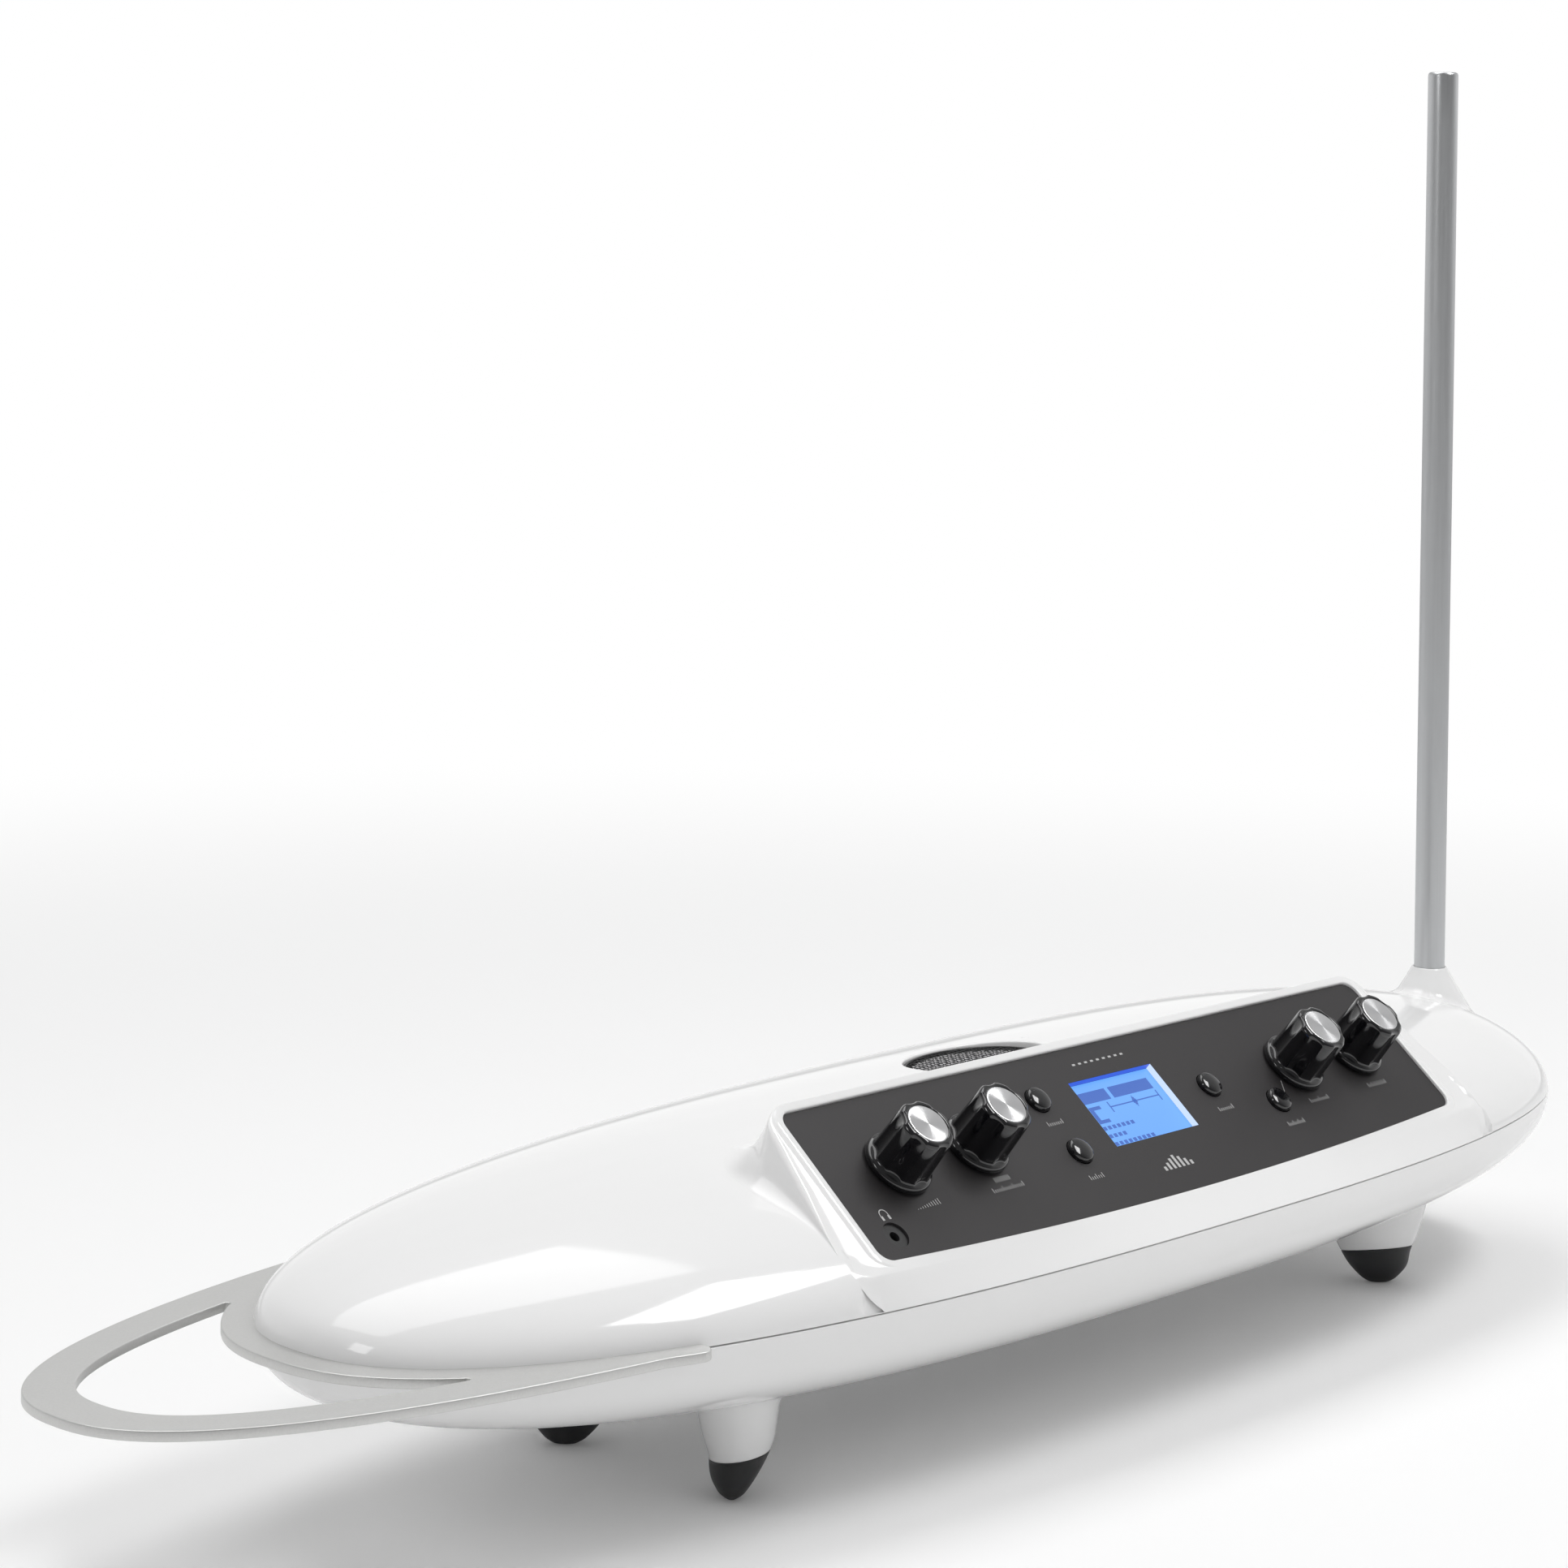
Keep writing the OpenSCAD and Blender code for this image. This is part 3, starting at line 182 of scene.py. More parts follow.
class Finish:
    """A material with a Principled shader, and calls that add nodes to it."""

    def __init__(self, name, colour, rough, **settings):
        self.material = bpy.data.materials.new(name)
        self.material.use_nodes = True
        self.tree = self.material.node_tree
        self.shader = self.tree.nodes["Principled BSDF"]
        self.material.diffuse_color = (*colour, 1)
        self.set("Base Color", (*colour, 1))
        self.set("Roughness", rough)
        for key, value in settings.items():
            self.set(key.replace("_", " "), value)

    def set(self, socket, value):
        """Sets or links one input of the shader."""
        target = self.shader.inputs[socket]
        if isinstance(value, Wire):
            self.tree.links.new(value.socket, target)
        else:
            target.default_value = value

    def node(self, kind, settings=None, inputs=None, output=0):
        """Any node: its type, its settings, then its inputs, and one output as a Wire."""
        node = self.tree.nodes.new(kind)
        for key, value in (settings or {}).items():
            setattr(node, key, value)
        for key, value in (inputs or {}).items():
            if isinstance(value, Wire):
                self.tree.links.new(value.socket, node.inputs[key])
            else:
                node.inputs[key].default_value = value
        return Wire(self.tree, node.outputs[output])

    def place(self):
        """Object coordinates, in metres."""
        return self.node("ShaderNodeTexCoord", output="Object")

    def noise(self, scale, detail=2.0, rough=0.5, where=None):
        """Noise from 0 to 1 with so many features a metre."""
        return self.node("ShaderNodeTexNoise", None, {
            "Vector": where or self.place(), "Scale": scale, "Detail": detail,
            "Roughness": rough}, "Fac")

    def mix(self, share, first, second):
        """A colour between two colours."""
        node = self.tree.nodes.new("ShaderNodeMix")
        node.data_type = "RGBA"
        for key, value in ((0, share), (6, first), (7, second)):
            if isinstance(value, Wire):
                self.tree.links.new(value.socket, node.inputs[key])
            else:
                node.inputs[key].default_value = value if key == 0 else (*value, 1)
        return Wire(self.tree, node.outputs[2])

    def bump(self, height, distance, strength=1.0):
        """Bump of so many metres for a height from 0 to 1."""
        self.set("Normal", self.node("ShaderNodeBump", None, {
            "Height": height, "Distance": distance, "Strength": strength}, "Normal"))


# %% [markdown]
# ## The finishes
#
# White parts are injection-moulded and polished: a bright base under a glossy skin that
# waves very slightly, so that reflections aren't ruler-straight. The panel has a fine
# sand-like texture that scatters light in tiny specks. The knobs are high-gloss black.


# %% White, black and rubber finishes
def moulded_white():
    """Polished white plastic: a slow ripple in the skin and a faint change of roughness."""
    finish = Finish("moulded_white", (0.86, 0.86, 0.86), 0.08, IOR=1.5)
    slow = finish.noise(9.0, 1.0)
    finish.set("Roughness", 0.05 + finish.noise(60.0, 2.0) * 0.05)
    finish.set("Base Color", finish.mix(slow, (0.85, 0.85, 0.85), (0.87, 0.87, 0.87)))
    finish.bump(slow, 0.0002, 0.5)
    return finish.material


def sand_black():
    """Black paint with a fine grain: specks in the colour and in the height."""
    finish = Finish("sand_black", (0.045, 0.04, 0.042), 0.5)
    grain = finish.noise(2600.0, 2.0, 0.6)
    finish.set("Base Color", finish.mix(grain, (0.004, 0.0035, 0.004), (0.036, 0.032, 0.034)))
    finish.set("Roughness", 0.42 + grain * 0.25)
    finish.bump(grain, 0.00006, 0.7)
    return finish.material


def gloss_black():
    """High-gloss black with the faintest orange peel."""
    finish = Finish("gloss_black", (0.004, 0.004, 0.005), 0.08, IOR=1.5, Coat_Weight=0.6,
                    Coat_Roughness=0.04)
    finish.set("Roughness", 0.07 + finish.noise(400.0) * 0.05)
    finish.bump(finish.noise(160.0, 1.0), 0.00008, 0.4)
    return finish.material


def dull_black(name="dull_black", colour=(0.02, 0.02, 0.021), rough=0.5):
    """Dull moulded black with a fine spark-eroded grain."""
    finish = Finish(name, colour, rough)
    grain = finish.noise(1400.0, 2.0)
    finish.set("Roughness", (rough - 0.08) + grain * 0.16)
    finish.bump(grain, 0.00004, 0.5)
    return finish.material


WHITE = moulded_white()
PANEL_BLACK = sand_black()
GLOSS = gloss_black()
DULL = dull_black()
RUBBER = dull_black("foot_rubber", (0.012, 0.012, 0.013), 0.42)
print("finishes:", [m.name for m in (WHITE, PANEL_BLACK, GLOSS, DULL, RUBBER)])

# %% [markdown]
# The loop is sheet metal with a fine matt grain, the rod is drawn and polished along its
# length, and the small hardware is plated steel or turned brass. Metal takes its look from
# the roughness: fine noise, stretched along the direction of working, breaks the highlight.


# %% Metal finishes
def brushed(name, colour, rough, stretch, scale=900.0, depth=0.00001, low=0.0):
    """Metal with a grain: noise on coordinates that are stretched along one direction."""
    finish = Finish(name, colour, rough, Metallic=1.0)
    where = finish.node("ShaderNodeMapping", None, {
        "Vector": finish.place(), "Scale": stretch}, "Vector")
    grain = finish.noise(scale, 2.0, 0.6, where)
    finish.set("Roughness", (rough - 0.06) + grain * 0.14)
    dark = tuple(c * (1.0 - low) for c in colour)
    finish.set("Base Color", finish.mix(grain, dark, colour))
    finish.bump(grain, depth, 0.5)
    return finish.material


LOOP_METAL = brushed("loop_metal", (0.70, 0.70, 0.69), 0.46, (1, 1, 1), 1500.0, 0.00003, 0.16)
ROD_METAL = brushed("rod_metal", (0.60, 0.61, 0.62), 0.34, (1, 1, 0.02), 1200.0, 0.000004, 0.1)
STEEL = brushed("plated_steel", (0.56, 0.57, 0.58), 0.28, (1, 1, 1), 900.0, 0.000006, 0.1)
BRASS = brushed("turned_brass", (0.78, 0.56, 0.25), 0.26, (1, 1, 0.2), 900.0, 0.000006, 0.1)
BLACK_METAL = dull_black("black_metal", (0.018, 0.018, 0.019), 0.36)
print("metals:", [m.name for m in (LOOP_METAL, ROD_METAL, STEEL, BRASS, BLACK_METAL)])


# %% [markdown]
# ## From arrays to meshes
#
# Every smooth piece is one or more grids of points. A grid that closes on itself joins its
# last row or column to its first. The helper joins each cell as a face, welds points that
# coincide at poles and seams, and turns each grid so that its faces look away from a
# point inside it.


# %% Build a mesh from grids
def cells(rows, columns, wrap_rows=False, wrap_columns=False):
    """Corner numbers of each cell in a grid of rows by columns, as an array of quads."""
    i = np.arange(rows if wrap_rows else rows - 1)
    j = np.arange(columns if wrap_columns else columns - 1)
    i, j = np.meshgrid(i, j, indexing="ij")
    i, j = i.ravel(), j.ravel()
    i2, j2 = (i + 1) % rows, (j + 1) % columns
    return np.stack([i * columns + j, i * columns + j2, i2 * columns + j2, i2 * columns + j], 1)


def facing_out(points, quads, inside):
    """The quads, turned over if their summed normals look towards the inside point."""
    p = points[quads]
    normal = np.cross(p[:, 2] - p[:, 0], p[:, 3] - p[:, 1])
    away = p.mean(axis=1) - np.asarray(inside, float)
    return quads if np.einsum("ij,ij->", normal, away) >= 0 else quads[:, ::-1]


def weld(points, quads):
    """Points that coincide become one, and cells that lost a corner become triangles."""
    key = np.round(points * 2000).astype(np.int64)
    _, first, back = np.unique(key, axis=0, return_index=True, return_inverse=True)
    quads = back.reshape(-1)[quads]
    same = quads == np.roll(quads, -1, axis=1)
    faces = [tuple(dict.fromkeys(q)) if s else tuple(q)
             for q, s in zip(quads.tolist(), same.any(axis=1).tolist())]
    return points[first], [f for f in faces if len(f) > 2]


def piece(name, grids, material, body, replaces=(), sharp=50.0, without=None):
    """One mesh from grids of (points, inside, wrap_rows, wrap_columns), in hull millimetres."""
    all_points, all_quads, start = [], [], 0
    for points, inside, *wrap in grids:
        points = np.asarray(points, float)
        flat = points.reshape(-1, 3)
        quads = cells(points.shape[0], points.shape[1], *wrap)
        quads = quads if inside is None else facing_out(flat, quads, inside)
        if without is not None:
            quads = quads[~without(flat[quads].mean(axis=1))]
        all_quads.append(quads + start)
        all_points.append(flat)
        start += len(flat)
    points, faces = weld(np.concatenate(all_points), np.concatenate(all_quads))
    mesh = bpy.data.meshes.new(name)
    mesh.from_pydata(((points + [MIDDLE_X, 0, 0]) / 1000).tolist(), [], faces)
    mesh.polygons.foreach_set("use_smooth", np.ones(len(mesh.polygons), bool))
    mesh.update()
    mesh.set_sharp_from_angle(angle=math.radians(sharp))
    mesh.materials.append(material)
    item = bpy.data.objects.new(name, mesh)
    bpy.context.scene.collection.objects.link(item)
    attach(item, body)
    if replaces:
        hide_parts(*replaces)
    print(f"{name}: {len(points)} points, {len(faces)} faces")
    return item


# %% [markdown]
# ## The hull
#
# Both halves are moulded shells. Rows run round the section, columns along the hull, and
# the columns crowd towards the two tips, where the surface turns fastest. A lip turned in
# at the seam makes the thin dark line that parts the halves.

# %% Hull surfaces
COLUMNS = np.unique(np.concatenate([
    -np.cos(np.linspace(0, math.pi, 241)),
    np.linspace(-0.60, -0.48, 25), np.linspace(0.53, 0.66, 25)]))


def hull_section(x, rise, sign, front_n, rows, grow=0.0):
    """Points round one half section: y = b |sin t|^(2/n), z = c |cos t|^(2/n)."""
    turn = np.linspace(-math.pi / 2, math.pi / 2, rows)[None, :]
    n = np.where(turn < 0, front_n, BACK_N)
    y = half_depth(x, grow)[:, None] * spow(np.sin(turn), 2 / n)
    z = half_rise(x, rise, grow)[:, None] * np.abs(np.cos(turn)) ** (2 / n)
    return y, np.maximum(z, 0.0) * sign


def lip(x, side, sign):
    """The turned-in edge at the seam: four steps from the skin into the gap."""
    steps = [(-0.00, 0.50), (-0.05, 0.34), (-0.20, 0.24), (-0.45, SEAM_GAP), (-1.6, SEAM_GAP)]
    return [np.stack([x * (1 + g / 310), side * half_depth(x, 0) * (1 + g / HALF_DEPTH),
                      np.full_like(x, SEAM_Z + sign * h)], -1) for g, h in steps]


def with_lips(points, x, sign):
    """Adds the lip's rows in front of and behind a half section's rows."""
    front, back = lip(x, -1, sign), lip(x, 1, sign)
    rows = np.concatenate([np.stack(front[::-1], 1), points, np.stack(back, 1)], 1)
    return rows


def lift_edge(z, sign):
    """Keeps the skin's lowest rows at the lip's height instead of the seam plane."""
    return np.where(np.abs(z) < 0.5, 0.5 * sign, z)


# %% [markdown]
# The control panel sits in a bezel that grows out of the hull's front. Where the hull's own
# skin would stand over the bezel, it is pressed down under it, and the bezel's sheet covers
# the place.


# %% Bezel lines
def bezel_half(z):
    """Half of the bezel's width at a height: its end walls lean out as they go down."""
    top = panel_point(0, PANEL_H + RIM, RIM_TOP)[2]
    return PANEL_W + RIM + (top - z) * DRAFT


def low_edge(u):
    """The panel's lower edge: an arc through its two ends and the bulge."""
    radius = (PANEL_W**2 + BULGE**2) / (2 * BULGE)
    return -PANEL_H - BULGE + radius - np.sqrt(radius**2 - u**2)


def face_z(y):
    """Height of the bezel's face plane over a place behind or before the panel."""
    return PANEL_Z + (y - PANEL_Y) * math.tan(TILT) + RIM_TOP / math.cos(TILT)


def pressed(x, y, z):
    """The upper skin, pressed under the bezel where the bezel covers it."""
    rim_low = panel_point(x, low_edge(np.clip(x, -PANEL_W, PANEL_W)) - RIM, RIM_TOP)
    edge_y, edge_z = rim_low[..., 1], rim_low[..., 2]
    wall = SEAM_Z + (y + half_depth(x)) / (edge_y + half_depth(x)) * (edge_z - SEAM_Z)
    cover = np.where(y < edge_y, wall, face_z(y))
    cover = np.where(y > -26.0, 200.0, cover)
    inside = (np.abs(x) < bezel_half(np.minimum(cover, 118)) - 3.0) & (y < -26.0)
    return np.where(inside, np.minimum(z, np.maximum(cover - 1.6, SEAM_Z + 0.25)), z)


# %% Upper hull with its grille opening
GRILLE_A, GRILLE_B, GRILLE_Y = 32.0, 20.0, 14.0


def upper_skin():
    """The upper half, with its front pressed under the bezel."""
    x = COLUMNS * reach(COLUMNS)
    y, z = hull_section(x, RISE, 1, FRONT_N, 121)
    grid_x = np.repeat(x[:, None], y.shape[1], 1)
    z = lift_edge(z, 1) + SEAM_Z
    z = pressed(grid_x, y, z)
    points = with_lips(np.stack([grid_x, y, z], -1), x, 1)
    return points


def cut_ellipse(points):
    """Marks the cells whose middle lies in the grille's oval."""
    centre = (points[:-1, :-1] + points[1:, 1:]) / 2
    r = np.hypot(centre[..., 0] / (GRILLE_A + 6), (centre[..., 1] - GRILLE_Y) / (GRILLE_B + 6))
    return (r < 1) & (centre[..., 2] > SEAM_Z + 20)


def ring(a, b, z, count=160, centre_y=GRILLE_Y):
    """An oval ring of points at a height or at given heights."""
    t = np.linspace(0, 2 * math.pi, count, endpoint=False)
    return np.stack([a * np.cos(t), centre_y + b * np.sin(t), z + 0 * t], -1)


def on_crown(points, lift=0.0):
    """The same points, laid on the upper hull."""
    out = points.copy()
    out[..., 2] = crown_z(out[..., 0], out[..., 1]) + lift
    return out


def grille_seat():
    """From the crown down into the grille's recess: a wide flange, a round edge and a wall."""
    rows = [on_crown(ring(GRILLE_A + g, GRILLE_B + g, 0.0)) for g in (7.5, 5, 3.5, 2.2, 1.4, 1.0)]
    wall_z = SEAM_Z + RISE - 2.4
    top = rows[-1][:, 2]
    for g, drop in ((0.75, 0.04), (0.5, 0.14), (0.32, 0.3), (0.22, 0.5), (0.18, 0.8)):
        edge = ring(GRILLE_A + g, GRILLE_B + g, 0.0)
        edge[:, 2] = top - drop
        rows.append(edge)
    rows.append(ring(GRILLE_A + 0.18, GRILLE_B + 0.18, wall_z - 1.5))
    return np.stack(rows)


# %% Make the upper shell
skin = upper_skin()
keep = ~cut_ellipse(skin)


def grid_parts(points, keep):
    """Splits a grid into runs of columns whose rows are all kept, and strips elsewhere."""
    runs = []
    bad = np.where(~keep.all(axis=1))[0]
    first, last = bad.min(), bad.max() + 1
    low = min(np.where(~keep[c])[0].min() for c in range(first, last))
    high = max(np.where(~keep[c])[0].max() + 1 for c in range(first, last))
    runs.append(points[:first + 1])
    runs.append(points[last:])
    runs.append(points[first:last + 1, :low + 1])
    runs.append(points[first:last + 1, high:])
    return runs, (first, last, low, high)


parts, hole = grid_parts(skin, keep)
print("hole in columns and rows", hole)


def bridge_hole(points, hole):
    """A sheet from the square hole's edge in the grid to the oval flange."""
    first, last, low, high = hole
    edge = np.concatenate([
        points[first:last, low], points[last, low:high],
        points[last:first:-1, high], points[first, high:low:-1]])
    mid = np.array([0.0, GRILLE_Y, 0.0])
    angle = np.arctan2((edge[:, 1] - mid[1]) / GRILLE_B, (edge[:, 0] - mid[0]) / GRILLE_A)
    inner = on_crown(np.stack([(GRILLE_A + 7.5) * np.cos(angle),
                               GRILLE_Y + (GRILLE_B + 7.5) * np.sin(angle), 0 * angle], -1))
    shares = np.linspace(0, 1, 5)[:, None, None]
    sheet = edge[None] * (1 - shares) + inner[None] * shares
    sheet[1:-1] = on_crown(sheet[1:-1])
    return sheet


def under_panel(p):
    """True where a point of the skin lies under the panel, which covers an opening."""
    y, z = p[:, 1] - PANEL_Y, p[:, 2] - PANEL_Z
    v, w = y * math.cos(TILT) + z * math.sin(TILT), z * math.cos(TILT) - y * math.sin(TILT)
    return (np.abs(p[:, 0]) < PANEL_W - 3) & (np.abs(v) < PANEL_H - 2) & (w < 0.5)


deep = (0, 0, -400)
upper_grids = [(part, deep) for part in parts]
upper_grids.append((bridge_hole(skin, hole), deep, False, True))
upper_grids.append((grille_seat(), deep, False, True))
piece("hull_top", upper_grids, WHITE, "chassis", ["upper_shell"], 60,
              under_panel)

# %% [markdown]
# ## The bezel
#
# A rim runs round the panel. Outside it the face goes on as a narrow triangle at each end,
# then end walls, a front wall and a back slope fall to the hull. Each place along the
# rim's outline gets one profile: in, over the rim, across the face, down its wall, and out
# in a hollow fillet that meets the hull's skin.

# %% Outline of the panel, grown
ARC, TURN, SIDE = 170, 22, 60


def outline(grow):
    """The panel's outline as (u, v), always with the same number of points on each part."""
    r = CORNER + grow
    w, top = PANEL_W + grow, PANEL_H + grow
    u = np.linspace(-w + r, w - r, ARC)
    low = np.stack([u, low_edge(u) - grow], 1)
    end_v = low_edge(w - r) - grow + r

    def corner(cu, cv, start):
        t = np.radians(start + np.linspace(0, 90, TURN + 2)[1:-1])
        return np.stack([cu + r * np.cos(t), cv + r * np.sin(t)], 1)

    rise = np.linspace(end_v, top - r, SIDE)
    right = np.stack([np.full(SIDE, w), rise], 1)
    back = np.stack([np.linspace(w - r, -w + r, ARC), np.full(ARC, top)], 1)
    left = np.stack([np.full(SIDE, -w), rise[::-1]], 1)
    return np.concatenate([low, corner(w - r, end_v, -90), right, corner(w - r, top - r, 0),
                           back, corner(-w + r, top - r, 90), left, corner(-w + r, end_v, 180)])


def parts_of_outline():
    """How much each place belongs to the front, and to the back: 1, fading in the corners."""
    fade = 0.5 + 0.5 * np.cos(np.linspace(0, math.pi, TURN))
    zero, one = np.zeros, np.ones
    front = np.concatenate([one(ARC), fade, zero(SIDE), zero(TURN), zero(ARC), zero(TURN),
                            zero(SIDE), fade[::-1]])
    back = np.concatenate([zero(ARC), zero(TURN), zero(SIDE), fade[::-1], one(ARC), fade,
                           zero(SIDE), zero(TURN)])
    return front, back


FRONT_SHARE, BACK_SHARE = parts_of_outline()


# %% The bezel's profile
def unit(v):
    """Vectors scaled to length one."""
    return v / np.maximum(np.linalg.norm(v, axis=-1, keepdims=True), 1e-9)


def skin_normal(p, step=0.2):
    """Direction out of the upper hull at points on it, from height differences."""
    dx = crown_z(p[:, 0] + step, p[:, 1]) - crown_z(p[:, 0] - step, p[:, 1])
    dy = crown_z(p[:, 0], p[:, 1] + step) - crown_z(p[:, 0], p[:, 1] - step)
    return unit(np.stack([-dx, -dy, np.full(len(p), 2 * step)], -1))


def march(start, way, limit=60.0, steps=600):
    """Distance along each ray to the first step that lies under the upper hull."""
    t = np.linspace(0, limit, steps)[None, :, None]
    p = start[:, None] + way[:, None] * t
    under = (p[..., 2] <= crown_z(p[..., 0], p[..., 1])) | (p[..., 2] <= SEAM_Z + 0.5)
    first = np.where(under.any(1), under.argmax(1), steps - 1)
    return t[0, first, 0]


def curve3(a, b, c, share):
    """A quadratic curve from a towards b to c."""
    return a * (1 - share) ** 2 + 2 * b * share * (1 - share) + c * share**2


def bezel_rows():
    """All rows of the bezel, from inside the panel's recess to the skin of the hull."""
    k = np.maximum(FRONT_SHARE, BACK_SHARE)
    f = FRONT_SHARE[:, None]

    def lifted(grow, w):
        o = outline(grow)
        return panel_point(o[:, 0], o[:, 1], w)

    def shoulder(grow, w):
        """Past the rim's top: it stays level at the front and the back, and sinks at the ends."""
        return lifted(2.0, 1.0) + (lifted(grow, w) - lifted(2.0, 1.0)) * (1 - k)[:, None] + (
            lifted(2.0 + (grow - 2.0) * 0.35, 1.0) - lifted(2.0, 1.0)) * k[:, None]

    rows = [lifted(0.15, -2.6), lifted(0.15, 0.45), lifted(0.2, 0.68), lifted(0.36, 0.86),
            lifted(0.62, 0.97), lifted(1.0, 1.0), lifted(2.0, 1.0), shoulder(2.7, 0.96),
            shoulder(3.3, 0.82), shoulder(3.8, 0.6), shoulder(4.3, 0.36), shoulder(4.8, 0.2)]
    grow = 4.9 - 0.9 * k - 0.9 * BACK_SHARE
    edge = np.stack([lifted(g, 0.12)[i] for i, g in enumerate(grow)])
    edge += panel_point(0, 0, 0.88 * k) - panel_point(0, 0, 0.0)
    edge[:, 0] *= bezel_half(edge[:, 2]) / (PANEL_W + RIM)

    side_way = np.stack([np.sign(edge[:, 0]) * DRAFT, 0 * k, -np.ones(len(k))], -1)
    back_way = np.array([0.0, BACK_FOOT_Y + 31.7, 93.8 - 117.9])[None]
    way = unit((1 - BACK_SHARE)[:, None] * unit(side_way) + BACK_SHARE[:, None] * unit(back_way))
    foot_side = edge + way * march(edge, way)[:, None]
    foot = foot_side * (1 - f)
    foot[:, 0] += edge[:, 0] * FRONT_SHARE
    foot[:, 1] -= (half_depth(edge[:, 0]) + 0.03) * FRONT_SHARE
    foot[:, 2] = np.maximum(crown_z(foot[:, 0], foot[:, 1]), SEAM_Z + 0.45)
    way = unit(foot - edge)
    room = np.linalg.norm(foot - edge, axis=1)[:, None]
    inward = rows[-1] - edge
    flat = np.linalg.norm(inward, axis=1)[:, None]
    round_r = np.minimum(np.minimum(2.2, 0.35 * room), 0.9 * flat)
    for share in (0.0, 0.2, 0.4, 0.6, 0.8, 1.0):
        rows.append(curve3(edge + unit(inward) * round_r, edge, edge + way * round_r, share))

    normal = skin_normal(foot)
    along = unit(way - np.einsum("ij,ij->i", way, normal)[:, None] * normal)
    hollow = np.minimum(6.5, 0.5 * room) * (1 - f)
    for share in (0.3, 0.6, 0.9):
        rows.append((edge + way * round_r) * (1 - share) + (foot - way * hollow) * share)
    tail = foot + along * hollow * 1.4
    tail[:, 2] = np.maximum(crown_z(tail[:, 0], tail[:, 1]) - 0.02 * (1 - FRONT_SHARE),
                            SEAM_Z + 0.45)
    for share in (0.0, 0.15, 0.3, 0.45, 0.6, 0.75, 0.9, 1.0):
        rows.append(curve3(foot - way * hollow, foot, tail, share))
    return np.stack(rows)


piece("bezel", [(bezel_rows(), (0, -30, 60), False, True)], WHITE, "chassis",
      [], 70)

# %% [markdown]
# The rod stands in a white cone that flares into the hull like the foot of a wine glass.


# %% Rod cone and rod
def lathe(profile, count=96):
    """A profile of (radius, height) turned round the vertical: rows of rings."""
    profile = np.asarray(profile, float)
    t = np.linspace(0, 2 * math.pi, count, endpoint=False)
    return np.stack([profile[:, :1] * np.cos(t), profile[:, :1] * np.sin(t),
                     np.repeat(profile[:, 1:], count, 1)], -1)


def cone_rows():
    """From the rod's hole over the lip, down the flare, and out along the crown."""
    base_z, foot_r, lip_r = SEAM_Z + 16, 19.2, ROD_R + 0.75
    share = np.linspace(0, 1, 40)
    radius = lip_r + (foot_r - lip_r) * (1 - share) ** 1.05
    height = base_z + (CONE_TOP - base_z) * share
    t = np.linspace(0, 2 * math.pi, 120, endpoint=False)
    x = ROD_X + radius[:, None] * np.cos(t)
    y = radius[:, None] * np.sin(t)
    free = height[:, None] > crown_z(x, y)
    last = np.argmax(free, axis=0)
    r_foot = radius[last]
    rows = []
    for r, z in ((ROD_R + 0.1, CONE_TOP - 3), (ROD_R + 0.1, CONE_TOP - 0.3),
                 (ROD_R + 0.25, CONE_TOP - 0.06), (lip_r - 0.3, CONE_TOP),
                 (lip_r - 0.08, CONE_TOP - 0.1)):
        rows.append(np.stack([ROD_X + r * np.cos(t), r * np.sin(t), np.full_like(t, z)], -1))
    top_z = CONE_TOP - 0.3
    foot_z = height[last] + 2.2
    for s in np.linspace(0, 1, 16):
        z = top_z + (foot_z - top_z) * s
        r = lip_r + (foot_r - lip_r) * np.maximum(1 - (z - base_z) / (CONE_TOP - base_z), 0) ** 1.05
        rows.append(np.stack([ROD_X + r * np.cos(t), r * np.sin(t), z], -1))
    start = rows[-1]
    corner = np.stack([ROD_X + r_foot * np.cos(t), r_foot * np.sin(t), height[last]], -1)
    end = np.stack([ROD_X + (r_foot + 4.5) * np.cos(t), (r_foot + 4.5) * np.sin(t), 0 * t], -1)
    end[:, 0] = np.minimum(end[:, 0], HULL_RIGHT - 0.8)
    end[:, 2] = crown_z(end[:, 0], end[:, 1]) - 0.03
    for s in np.linspace(0.1, 1, 10):
        rows.append(curve3(start, corner, end, s))
    return np.stack(rows)


piece("rod_cone", [(cone_rows(), (ROD_X, 0, 60), False, True)], WHITE, "chassis", [],
      60)

rod_low = CONE_TOP - 29
rod_profile = [(0, rod_low), (5, rod_low), (6, rod_low + 1), (6, ROD_TOP - 1.5),
               (5.93, ROD_TOP - 1.0), (5.72, ROD_TOP - 0.5), (5.4, ROD_TOP - 0.14),
               (5.0, ROD_TOP), (0, ROD_TOP)]
rod_rings = [(6, z) for z in np.linspace(rod_low + 20, ROD_TOP - 20, 12)]
rod_profile = rod_profile[:3] + rod_rings + rod_profile[3:]
piece("rod_tube", [(lathe(rod_profile) + [ROD_X, 0, 0], (ROD_X, 0, 250), False, True)],
      ROD_METAL, "rod", ["pitch_rod"], 50)

# %% [markdown]
# ## The lower hull
#
# The lower half is the same kind of surface turned down. Its back has a long window for the
# sockets, so the rows there follow the window's lower and upper edges.

# %% Lower hull with the socket window
WINDOW_W, WINDOW_LOW, WINDOW_TOP, WINDOW_Y = 86.0, 39.6, 61.8, 70.0


